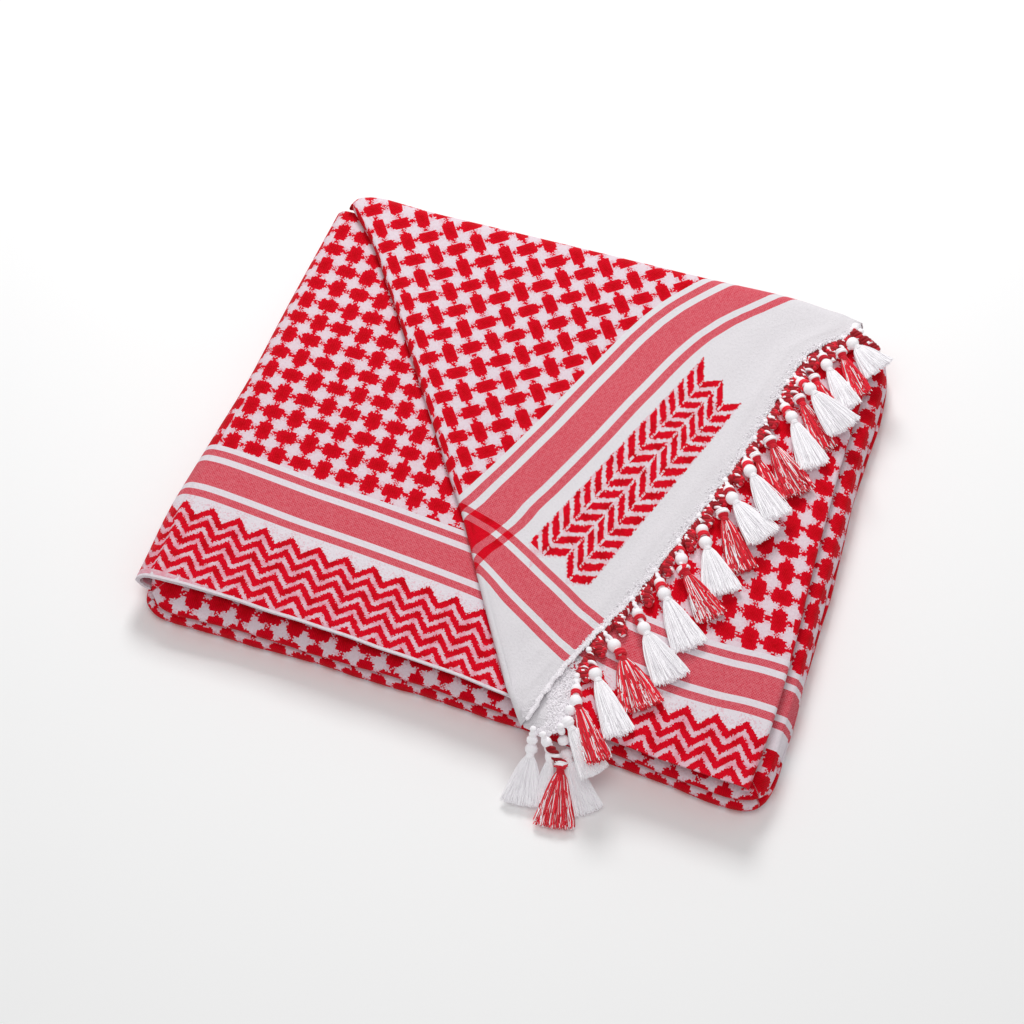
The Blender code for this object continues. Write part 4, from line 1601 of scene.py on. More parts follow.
@dataclass
class Pile:
    """Gathers loose closed shapes with their yarn's colour into one mesh."""

    points: list[Array] = field(default_factory=list)
    faces: list[tuple[int, ...]] = field(default_factory=list)
    reds: list[Array] = field(default_factory=list)
    tones: list[Array] = field(default_factory=list)
    count: int = 0

    BEAD_GRID = 18  # rings in a bead, and points in a ring
    TURN_STEPS = 18  # points in one turn of wound yarn
    TWIST_STEPS = 14  # and of twisted yarn
    PITCH = 1.7  # from one turn of wound yarn to the next, in the yarn's radii

    def add(self, rows: Array, red: float, tone: float = 0.5) -> None:
        """Adds one closed tube.

        Args:
            rows: its points in checks, as rings by points by three.
            red: how red its yarn is.
            tone: how light its yarn is.
        """
        rings, sides = rows.shape[:2]
        faces = [tuple(f) for f in grid_faces(rings, sides, 0, False, True).tolist()]
        faces.append(tuple(range(sides))[::-1])
        faces.append(tuple(range((rings - 1) * sides, rings * sides)))
        self.faces += [tuple(n + self.count for n in face) for face in faces]
        self.points.append(rows.reshape(-1, 3))
        self.reds.append(np.full(rings * sides, float(red)))
        self.tones.append(np.full(rings * sides, float(tone)))
        self.count += rings * sides

    def tube(self, line: Array, radius: float, red: float, tone: float = 0.5,
             sides: int = 6) -> None:
        """Adds a closed tube along a line of points.

        Args:
            line: its centreline in checks.
            radius: its radius.
            red: how red its yarn is.
            tone: how light its yarn is.
            sides: how many sides it has.
        """
        along = np.gradient(line, axis=0)
        along /= np.maximum(np.linalg.norm(along, axis=1, keepdims=True), TINY)
        side = np.cross(along, UP)
        weak = np.linalg.norm(side, axis=1) < 0.2
        side[weak] = np.cross(along[weak], np.array([1.0, 0.0, 0.0]))
        side /= np.linalg.norm(side, axis=1, keepdims=True)
        for n in range(1, len(line)):  # carry one side along, so that the tube doesn't twist
            carried = side[n - 1] - along[n] * np.dot(side[n - 1], along[n])
            side[n] = carried / max(np.linalg.norm(carried), TINY)
        over = np.cross(side, along)
        turn = (np.arange(sides) * 2 * pi / sides)[None, :, None]
        around = side[:, None] * np.cos(turn) + over[:, None] * np.sin(turn)
        self.add(line[:, None] + around * radius, red, tone)

    def bead(self, centre: Array, way: Array, length: float, width: float,
             red: float, wraps: int = 7, depth: float = 0.05) -> None:
        """Adds a ball of yarn wound round its axis.

        Args:
            centre: its middle.
            way: its axis.
            length: its size along that axis.
            width: its size across.
            red: how red its yarn is.
            wraps: how many turns of yarn show.
            depth: how deep the grooves between them are.
        """
        turn = np.arange(self.BEAD_GRID) * 2 * pi / self.BEAD_GRID
        around = ring(way, turn)
        rows = []
        for n in range(self.BEAD_GRID):
            polar = pi * (n + 0.5) / self.BEAD_GRID
            groove = 1 - depth * (0.5 + 0.5 * np.cos(wraps * polar * 2 + turn))
            radius = sin(polar) ** 0.8 * width / 2 * groove
            rows.append(centre + way * (-cos(polar) * length / 2) + around * radius[:, None])
        self.add(np.array(rows), red)

    def wraps(self, centre: Array, way: Array, radius: float, yarn: float,
              turns: int, red: float) -> None:
        """Adds yarn wound a few turns round an axis, slightly unevenly.

        Args:
            centre: the middle of the winding.
            way: its axis.
            radius: from the axis to the yarn's middle.
            yarn: the yarn's own radius.
            turns: how many times it goes round.
            red: how red it is.
        """
        turn = np.linspace(0, 2 * pi * turns, self.TURN_STEPS * turns)
        along = (turn / (2 * pi) - turns / 2) * yarn * self.PITCH
        swell = radius * (1 + 0.05 * np.sin(turn * 1.7))
        line = centre + way * along[:, None] + ring(way, turn) * swell[:, None]
        tone = 0.3 + 0.5 * abs(sin(97 * float(centre[0] + centre[1])))
        self.tube(line, yarn, red, tone)

    def twist(self, start: Array, end: Array, radius: float, yarn: float,
              turns: float, reds: Sequence[float]) -> None:
        """Adds strands twisted together along a line, given dark tones as painted shade, every other one
        of them darker.

        Args:
            start: where the line starts.
            end: where it ends.
            radius: from the line to each strand's middle.
            yarn: each strand's own radius.
            turns: how many times they go round.
            reds: how red each strand is, one number for each strand.
        """
        way = end - start
        length = np.linalg.norm(way)
        way = way / length
        t = np.linspace(0, 1, max(int(turns * self.TWIST_STEPS), 10))
        middle = start + way * (t * length)[:, None]
        swell = radius * (0.75 + 0.45 * np.sin(pi * np.clip(t, 0.03, 0.97)))
        for n, red in enumerate(reds):
            turn = 2 * pi * (turns * t + n / len(reds))
            # Painted shade: twisted strands take the darkest tones of their yarn, as if shaded under the
            # hem.
            self.tube(middle + ring(way, turn) * swell[:, None], yarn, red, 0.28 * (n % 2))

    def mesh(self, name: str) -> Mesh:
        """All that was added, as one mesh in metres."""
        made = bpy.data.meshes.new(name)
        made.from_pydata((np.vstack(self.points) * CHECK).tolist(), [], self.faces)
        for label, values in ((RED_SHARE, self.reds), (TONE, self.tones)):
            layer = made.attributes.new(label, "FLOAT", "POINT")
            layer.data.foreach_set("value", np.concatenate(values).astype(np.float32))
        return made


@dataclass(frozen=True)
class YarnFinish:
    """Soft cotton yarn, white or red as each point says, which glows faintly with painted light of its
    own colour.
    """

    white: tuple[Colour, Colour] = (srgb(238, 234, 238), srgb(245, 243, 246))
    # The dark end of the crimson is painted shade for the twisted yarn by the hem; between its ends lie
    # the yarn's own random tones.
    crimson: tuple[Colour, Colour] = (srgb(146, 0, 18), srgb(242, 28, 54))
    fibre_scale: float = 900.0
    dash_scale: float = 240.0  # the dashes of white in mixed yarn
    roughness: float = 0.72
    sheen: float = 0.2
    gloss: float = 0.3
    glow: float = 0.15  # painted glow: the yarn emits light of its own colour, to lighten the shade between its strands
    bump: tuple[float, float] = (0.35, 0.0004)

    def material(self) -> Material:
        """Builds the material."""
        made, graph = surface("cotton_yarn")
        red, tone = (graph.signals(graph.node("ShaderNodeAttribute", attribute_name=name))["Fac"]
                     for name in (RED_SHARE, TONE))
        place = graph.signals(graph.node("ShaderNodeTexCoord"))["Object"]
        fine = graph.noise(place, self.fibre_scale)
        apart = graph.node("ShaderNodeVectorMath", operation="ADD")
        graph.feed(apart.inputs[0], place)
        graph.feed(apart.inputs[1], graph.join(tone * 1.7, tone * 3.1))
        dashes = graph.noise(graph.signals(apart)["Vector"], self.dash_scale, 0.0)
        dashes = dashes.math("MULTIPLY_ADD", 2.6, -0.8, clamp=True)
        white, crimson = graph.mix(tone, *self.white), graph.mix(tone, *self.crimson)
        colour = graph.mix(red * 1.02 > dashes, white, crimson)
        shader = cover(graph, colour, fine * 0.16 + 0.92, fine, self.bump,
                       roughness=self.roughness, sheen_weight=self.sheen,
                       specular_ior_level=self.gloss, emission_strength=self.glow)
        # Painted glow: the yarn's own colour is emitted as light, so its shaded strands look lit.
        graph.feed(shader.inputs["Emission Color"], colour)
        return made


# ---------------------------------------------------------------- strands
class ShapeGraph(Graph):
    """A graph of geometry nodes."""

    @classmethod
    def start(cls, name: str, inputs: Ports) -> tuple["ShapeGraph", dict[str, Signal]]:
        """A new tree with a geometry in and out, and its other inputs by name."""
        graph, given = new_group("GeometryNodeTree", name, {"Geometry": SHAPE, **inputs},
                                 {"Geometry": SHAPE})
        return cls(graph.tree), given

    def draw(self, low: Value, high: Value, seed: Value, kind: str = "FLOAT") -> Signal:
        """A random value for each point."""
        inputs = {"Min": low, "Max": high, "Seed": seed}
        return self.first("FunctionNodeRandomValue", inputs, data_type=kind)

    def keep(self, geometry: Signal, label: str, value: Value) -> Signal:
        """Stores a number on each point of a geometry.

        Args:
            geometry: what has the points.
            label: the number's name.
            value: the number.

        Returns:
            The geometry with it.
        """
        inputs = {"Geometry": geometry, "Name": label, "Value": value}
        return self.first("GeometryNodeStoreNamedAttribute", inputs, data_type="FLOAT",
                          domain="POINT")

    def kept(self, label: str) -> Signal:
        """Reads a stored number."""
        return self.first("GeometryNodeInputNamedAttribute", {"Name": label}, data_type="FLOAT")

    def copies(self, points: Signal, shape: Signal, **inputs: Value) -> Signal:
        """One real copy of a shape on each point.

        Args:
            points: where the copies go.
            shape: what is copied.
            inputs: each copy's rotation or scale.

        Returns:
            The copies, as plain geometry.
        """
        fed = {name.capitalize(): value for name, value in inputs.items()}
        made = self.first("GeometryNodeInstanceOnPoints",
                          {"Points": points, "Instance": shape, **fed})
        return self.first("GeometryNodeRealizeInstances", {"Geometry": made})

    def dressed(self, curves: Signal, sides: int, caps: bool,
                given: dict[str, Signal]) -> NodeTree:
        """Gives the curves a round skin and its material, and ends the tree.

        Args:
            curves: the fibres' lines.
            sides: how many sides each has.
            caps: whether their ends are closed.
            given: the tree's inputs, for Radius and Material.

        Returns:
            The finished tree.
        """
        outline = self.first("GeometryNodeCurvePrimitiveCircle",
                             {"Resolution": sides, "Radius": given["Radius"]})
        skin = self.first("GeometryNodeCurveToMesh",
                          {"Curve": curves, "Profile Curve": outline, "Fill Caps": caps})
        inputs = {"Geometry": skin, "Material": given["Material"]}
        return self.result({"Geometry": self.first("GeometryNodeSetMaterial", inputs)})


@dataclass
class StrandTree:
    """The geometry nodes that fan fine strands out of one root, along +X and over Y."""

    steps: int = 8
    sides: int = 3
    odd_white: float = 0.80  # how much less red an odd strand is
    spread: float = 0.70  # under 1, the fan opens soon after its root
    bow: float = 0.05 * CHECK
    bulge: float = 0.035  # how much shorter the outer strands are
    flatness: float = 0.85

    DRAWS = {"fan": (-1.0, 1.0), "layer": (-1.0, 1.0), "long": (-1.0, 1.0), TONE: (0.3, 1.0),
             "pick": (0.0, 1.0), "bow": (-1.0, 1.0)}
    SEED_STEP = 17.0

    def build(self) -> NodeTree:
        """Builds the tree.

        Returns:
            The tree, whose inputs are set by name in grown().
        """
        graph, given = ShapeGraph.start("Strand fan", {
            "Strands": WHOLE,
            **ports("Length", "Width", "Root", "Thickness", "Radius", "Uneven", "Wave",
                    "Odd share", "Main red"),
            "Seed": WHOLE, "Material": "NodeSocketMaterial",
        })
        points = graph.first("GeometryNodePoints", {"Count": given["Strands"]})
        for n, (label, (low, high)) in enumerate(self.DRAWS.items()):
            value = graph.draw(low, high, given["Seed"] + self.SEED_STEP * n)
            points = graph.keep(points, label, value)
        line = graph.first("GeometryNodeCurvePrimitiveLine", {"End": (1.0, 0.0, 0.0)})
        line = graph.first("GeometryNodeResampleCurve", {"Curve": line, "Count": self.steps})
        lines = graph.copies(points, line)
        named = {label: graph.kept(label) for label in self.DRAWS}
        place = self.place(graph, given, named)
        moved = graph.first("GeometryNodeSetPosition", {"Geometry": lines, "Position": place})
        odd = named["pick"] < given["Odd share"]
        coloured = graph.keep(moved, RED_SHARE, given["Main red"] - odd * self.odd_white)
        return graph.dressed(coloured, self.sides, True, given)

    def place(self, graph: Graph, given: dict[str, Signal], named: dict[str, Signal]) -> Signal:
        """Where each point of each strand goes.

        Args:
            graph: the tree's graph.
            given: the tree's inputs.
            named: the numbers drawn for each strand.

        Returns:
            The places, as a vector.
        """
        run = graph.signals(graph.node("GeometryNodeSplineParameter"))["Factor"]
        fan, root = named["fan"], given["Root"]
        spread = run.math("POWER", self.spread)
        reach = root + (given["Width"] * 0.5 - root) * spread
        bow = named["bow"] * (run * pi).math("SINE") * self.bow
        phase = run * (named["long"] * 3.0 + 5.0) + named["pick"] * 6.0
        wave = phase.math("SINE") * run * given["Wave"]
        long = named["long"] * given["Uneven"] + 1.0
        x = run * given["Length"] * long * (1.0 - fan * fan * self.bulge)
        y = fan * reach + bow + wave
        flat = root + (given["Thickness"] * 0.5 - root) * spread
        z = named["layer"] * flat * (1.0 - fan * fan * self.flatness).math("SQRT")
        return graph.join(x, y, z)


@dataclass
class FuzzTree:
    """The geometry nodes that set one short curved fibre on every point of a mesh."""

    sides: int = 3
    start: tuple[float, float, float] = (0.0, 0.0, -0.2)
    middle: tuple[float, float, float] = (0.5, 0.3, 1.2)
    end: tuple[float, float, float] = (0.8, 0.0, -0.2)
    tilt: tuple[float, float] = (0.9, 0.6)  # how far it may roll and lean
    shortest: float = 0.4  # share of the full length

    def build(self) -> NodeTree:
        """Builds the tree, whose fibres point round their heading.

        Returns:
            The tree, whose inputs are set by name in grown().
        """
        graph, given = ShapeGraph.start("Hem fuzz", {
            **ports("Length", "Radius", "Heading"), "Seed": WHOLE, "Material": "NodeSocketMaterial",
        })
        seed, length = given["Seed"], given["Length"]
        fibre = graph.first("GeometryNodeCurveQuadraticBezier", {
            "Resolution": 3, "Start": self.start, "Middle": self.middle, "End": self.end,
        })
        low, high = (graph.join(way * self.tilt[0], way * self.tilt[1], given["Heading"] + way * pi)
                     for way in (-1, 1))
        turn = graph.draw(low, high, seed, "FLOAT_VECTOR")
        size = graph.draw(length * self.shortest, length, seed + 5.0)
        fibres = graph.copies(given["Geometry"], fibre, rotation=turn, scale=size)
        return graph.dressed(fibres, self.sides, False, given)


def grown(tree: NodeTree, values: dict[str, Any],
          points: Array | None = None) -> Mesh:
    """The plain mesh that a geometry nodes tree makes.

    Args:
        tree: the geometry nodes.
        values: its inputs by name.
        points: points in checks that it grows from, if it needs any.

    Returns:
        The mesh, with the modifier's outcome in it.
    """
    roots = bpy.data.meshes.new("strands")
    if points is not None:
        roots.from_pydata((points * CHECK).tolist(), [], [])
    holder = bpy.data.objects.new("strands", roots)
    bpy.context.scene.collection.objects.link(holder)
    modifier = holder.modifiers.new("strands", "NODES")
    modifier.node_group = tree
    for item in tree.interface.items_tree:
        if item.item_type == "SOCKET" and item.in_out == "INPUT" and item.name in values:
            modifier[item.identifier] = values[item.name]
    bpy.context.view_layer.update()
    graph = bpy.context.evaluated_depsgraph_get()
    made = bpy.data.meshes.new_from_object(holder.evaluated_get(graph))
    holder.modifiers.clear()
    bpy.data.objects.remove(holder)
    return made


# ---------------------------------------------------------------- tassels
class From(Enum):
    """Where a part of a head is measured from."""

    ROOT = "checks along the neck"
    NECK = "a share of the neck's length"
    BEAD = "checks past the neck's end, down the skirt"


@dataclass
class Neck:
    """The line that one tassel's head is wound on, from its hem to its skirt."""

    root: Array
    bead: Array
    end: Array
    full: float  # the head's full width

    def __post_init__(self) -> None:
        """Measures the line."""
        neck, skirt = self.bead - self.root, self.end - self.bead
        self.length = np.linalg.norm(neck)
        self.way = neck / self.length
        self.down = skirt / np.linalg.norm(skirt)

    def spot(self, start: From, at: float) -> tuple[Array, Array]:
        """A place on the line and the way the line runs there.

        Args:
            start: where the place is measured from.
            at: how far from there.

        Returns:
            The place and the direction.
        """
        if start is From.BEAD:
            return self.bead + self.down * at, self.down
        reach = self.way * self.length if start is From.NECK else self.way
        return self.root + reach * at, self.way


@dataclass(frozen=True)
class Ball:
    """A bead of wound yarn in a head."""

    start: From
    at: float
    length: float
    width: float  # share of the head's full width
    red: float = 0.0
    wraps: int = 7
    depth: float = 0.05

    def wind(self, pile: Pile, neck: Neck) -> None:
        """Winds it on its neck."""
        centre, way = neck.spot(self.start, self.at)
        pile.bead(centre, way, self.length, neck.full * self.width, self.red, self.wraps, self.depth)


@dataclass(frozen=True)
class Winding:
    """A few turns of yarn round a head."""

    start: From
    at: float
    radius: float  # share of the head's full width
    yarn: float = 0.055
    turns: int = 2
    red: float = 1.0

    def wind(self, pile: Pile, neck: Neck) -> None:
        """Winds it on its neck."""
        centre, way = neck.spot(self.start, self.at)
        pile.wraps(centre, way, neck.full * self.radius, self.yarn, self.turns, self.red)


@dataclass(frozen=True)
class Plait:
    """Strands twisted together along a neck."""

    after: float = 0.0  # where it starts past the root
    short: float = 0.0  # how far before the neck's end it stops
    radius: float = 0.075
    yarn: float = 0.075
    turns: float = 1.1  # for each check of neck
    reds: tuple[float, ...] = (0.0, 0.0)

    def wind(self, pile: Pile, neck: Neck) -> None:
        """Twists it along its neck."""
        start, end = neck.root + neck.way * self.after, neck.bead - neck.way * self.short
        pile.twist(start, end, self.radius, self.yarn, neck.length * self.turns, self.reds)


MIXED = (1.0, 0.0, 1.0)  # a white strand between two red ones
END_BEAD = Ball(From.BEAD, 0.0, 0.50, 1.0)
RING_AND_BEAD = (
    Plait(short=0.2), Ball(From.NECK, 0.42, 0.36, 0.86, wraps=5), Winding(From.NECK, 0.66, 0.36),
    END_BEAD,
)


class Head(Enum):
    """How a tassel's head is wound, part by part."""

    RING_BEAD = RING_AND_BEAD
    BEAD_RING_BEAD = (
        Ball(From.NECK, 0.45, 0.42, 0.95), Winding(From.NECK, 0.72, 0.38), END_BEAD,
    )
    RED_KNOT = (
        Plait(0.0, 0.12, 0.070, 0.060, 1.6, MIXED),
        Ball(From.BEAD, 0.0, 0.42, 0.92, 1.0, 4, 0.10),
        Winding(From.BEAD, -0.04, 0.44, red=0.0),
    )
    BEAD_KNOT = (
        Plait(), Winding(From.NECK, 0.22, 0.30, 0.05), Ball(From.NECK, 0.58, 0.48, 0.95),
        Ball(From.BEAD, 0.0, 0.42, 0.9, 1.0, 4, 0.10),
        Winding(From.BEAD, 0.02, 0.44, 0.05, red=0.3),
    )
    BEAD_RING = (
        Plait(), Ball(From.NECK, 0.62, 0.5, 1.0), Winding(From.BEAD, 0.0, 0.34, 0.07),
    )
    BRAID_BEAD = (
        Plait(0.0, 0.15, 0.09, 0.075, 1.5, MIXED), END_BEAD,
        Winding(From.BEAD, -0.2, 0.36, 0.04, 1),
    )
    RING_BEAD_WRAP = (*RING_AND_BEAD, Winding(From.BEAD, 0.26, 0.26, 0.04))
    WHITE_KNOTS = (
        Ball(From.NECK, 0.4, 0.34, 0.85, 0.0, 4, 0.08),
        Ball(From.BEAD, 0.0, 0.44, 0.95, 0.0, 5, 0.08),
    )
    WHITE_BRAID = (
        Ball(From.ROOT, 0.12, 0.4, 0.42 / 0.54), Plait(0.25, 0.0, 0.10, 0.08, 1.4, MIXED),
        Ball(From.BEAD, 0.0, 0.44, 0.9, 1.0, 4, 0.10),
        Winding(From.BEAD, 0.0, 0.42, 0.05, red=0.2),
    )
    WHITE_BEAD = (Plait(radius=0.07, yarn=0.07, turns=1.0), END_BEAD)


class Leaf(Enum):
    """Which edge of the turned-over corner a tassel hangs from."""

    UPPER = "the upper leaf's hem"
    UNDER = "the under leaf's hem"
    TIP = "the tip"


class Yarn(Enum):
    """What most of a tassel's yarn is."""

    WHITE = "white"
    RED = "red"


class Tassel(NamedTuple):
    """One tassel: its hem place, headings, lengths, width, heights and head."""

    number: int
    yarn: Yarn
    leaf: Leaf
    root_x: float
    root_y: float
    neck_turn: float
    neck: float
    skirt_turn: float
    skirt: float
    width: float
    bead_z: float
    end_z: float
    head: Head

    @property
    def name(self) -> str:
        """The name that the part's own table gives it."""
        return f"tassel_{self.number:02d}_{self.yarn.value}"

    @property
    def red(self) -> bool:
        """Whether its yarn is mostly red."""
        return self.yarn is Yarn.RED


RISE = np.array([0.0, 0.0, 0.12])  # how far the knot on the hem stands over the root
LEVEL = np.array([1.0, 1.0, 0.0])  # keeps the plan place of a point
WHITE, RED = Yarn
UPPER, UNDER, TIP = Leaf
TASSELS = [Tassel(number, *row) for number, row in enumerate((
    (WHITE, UPPER, 10.33, 10.50, -92, 0.75, -30, 1.30, 1.30, 2.42, 2.30, Head.WHITE_BEAD),
    (RED, UPPER, 9.80, 9.85, -75, 0.80, -50, 1.75, 0.68, 2.42, 2.26, Head.RED_KNOT),
    (WHITE, UPPER, 9.19, 9.00, -61, 0.80, -48, 1.85, 0.88, 2.42, 2.30, Head.RING_BEAD),
    (RED, UPPER, 8.93, 8.10, -59, 0.75, -48, 1.30, 0.55, 2.40, 2.24, Head.RED_KNOT),
    (WHITE, UPPER, 8.70, 7.33, -50, 0.95, -35, 2.00, 1.30, 2.80, 2.72, Head.RING_BEAD),
    (RED, UPPER, 8.57, 6.83, -52, 0.76, -47, 2.20, 0.77, 2.40, 2.24, Head.RED_KNOT),
    (WHITE, UPPER, 8.49, 5.99, -57, 0.90, -51, 2.17, 1.06, 2.45, 2.36, Head.RING_BEAD),
    (RED, UPPER, 8.23, 4.55, -68, 0.82, -47, 2.29, 1.12, 2.42, 2.28, Head.RED_KNOT),
    (RED, UPPER, 7.98, 3.60, -72, 0.75, -47, 1.80, 0.55, 2.40, 2.22, Head.RED_KNOT),
    (WHITE, UPPER, 7.90, 2.70, -66, 0.75, -46, 2.10, 1.06, 2.60, 2.66, Head.RING_BEAD),
    (WHITE, UPPER, 7.57, 1.20, -62, 0.74, -38, 1.92, 1.20, 2.55, 2.60, Head.RING_BEAD),
    (RED, UPPER, 7.38, 0.25, -50, 0.60, -55, 2.31, 0.94, 2.40, 2.24, Head.RED_KNOT),
    (WHITE, UPPER, 7.19, -0.75, -70, 1.05, -56, 2.00, 1.30, 2.42, 2.30, Head.BEAD_RING_BEAD),
    (RED, UPPER, 6.70, -2.19, -68, 1.10, -43, 2.05, 1.00, 2.42, 2.28, Head.BEAD_KNOT),
    (WHITE, UPPER, 6.29, -3.67, -62, 1.00, -48, 2.18, 1.18, 2.42, 2.28, Head.RING_BEAD),
    (WHITE, UPPER, 5.94, -5.40, -58, 1.07, -45, 2.11, 1.30, 2.44, 2.34, Head.RING_BEAD),
    (RED, UPPER, 5.5, -7.06, -49, 0.80, -51, 2.10, 1.42, 2.42, 2.28, Head.BEAD_RING),
    (WHITE, UNDER, 4.85, -8.00, -56, 1.02, -51, 2.35, 1.00, 2.42, 2.30, Head.BRAID_BEAD),
    (RED, UNDER, 4.63, -9.28, -62, 1.06, -51, 2.23, 0.78, 2.42, 2.22, Head.RING_BEAD_WRAP),
    (WHITE, UNDER, 4.63, -10.35, -58, 0.94, -40, 1.7, 0.95, 2.40, 1.62, Head.WHITE_KNOTS),
    (RED, TIP, 4.62, -11.75, -40, 0.85, -78, 1.85, 1.23, 1.12, 0.24, Head.WHITE_BRAID),
    (WHITE, UNDER, 4.67, -11.1, -46, 0.90, -50, 1.87, 1.09, 0.95, 0.24, Head.WHITE_KNOTS),
    (WHITE, TIP, 4, -11.68, -84, 0.40, -83, 1.55, 1.25, 1.22, 0.24, Head.WHITE_KNOTS),
    (WHITE, TIP, 4.52, -11.70, -56, 0.50, -84, 1.20, 0.62, 1.20, 0.22, Head.WHITE_BEAD),
), start=1)]


@dataclass
class HemFuzz:
    """The short white fibres along the turned corner's hems."""

    tree: NodeTree
    yarn: Material
    count: int = 5400
    tries: int = 16  # places drawn for each fibre that is kept
    fade: float = 0.21  # how fast the loops thin out away from the hem
    length: float = 0.11
    radius: float = 0.022
    heading: float = -0.45
    tip_count: int = 1500
    tip_spread: float = 0.03
    seed: int = 5
    growth_seed: int = 3

    def build(self, corner: TurnedCorner) -> Object:
        """One piece of looped fuzz, on the upper leaf beside its hem and on the tip.

        Args:
            corner: the corner that it grows on.

        Returns:
            The linked piece.
        """
        draw = np.random.default_rng(self.seed)
        points, flats = corner.upper_edge()
        picks = self.tries * self.count
        row = draw.integers(0, len(points) - 1, picks)
        column = draw.integers(0, points.shape[1] - 1, picks)
        spot, beside = draw.random((2, picks, 1))
        near = flats[row, column, 2]
        keep = draw.random(picks) < bell(near, 0.0, self.fade)
        first = points[row, column] * (1 - spot) + points[row + 1, column] * spot
        second = points[row, column + 1] * (1 - spot) + points[row + 1, column + 1] * spot
        chosen = (first * (1 - beside) + second * beside)[keep][:self.count]
        bed = corner.tip_bed()[0]
        row = draw.integers(0, len(bed), self.tip_count)
        column = draw.integers(0, bed.shape[1], self.tip_count)
        spread = draw.normal(0.0, self.tip_spread, (self.tip_count, 3)) * LEVEL
        chosen = np.concatenate([chosen, bed[row, column] + spread])
        mesh = grown(self.tree, {
            "Length": self.length * CHECK, "Radius": self.radius * CHECK, "Heading": self.heading,
            "Seed": self.growth_seed, "Material": self.yarn,
        }, chosen)
        return joined("hem_fuzz", [mesh])


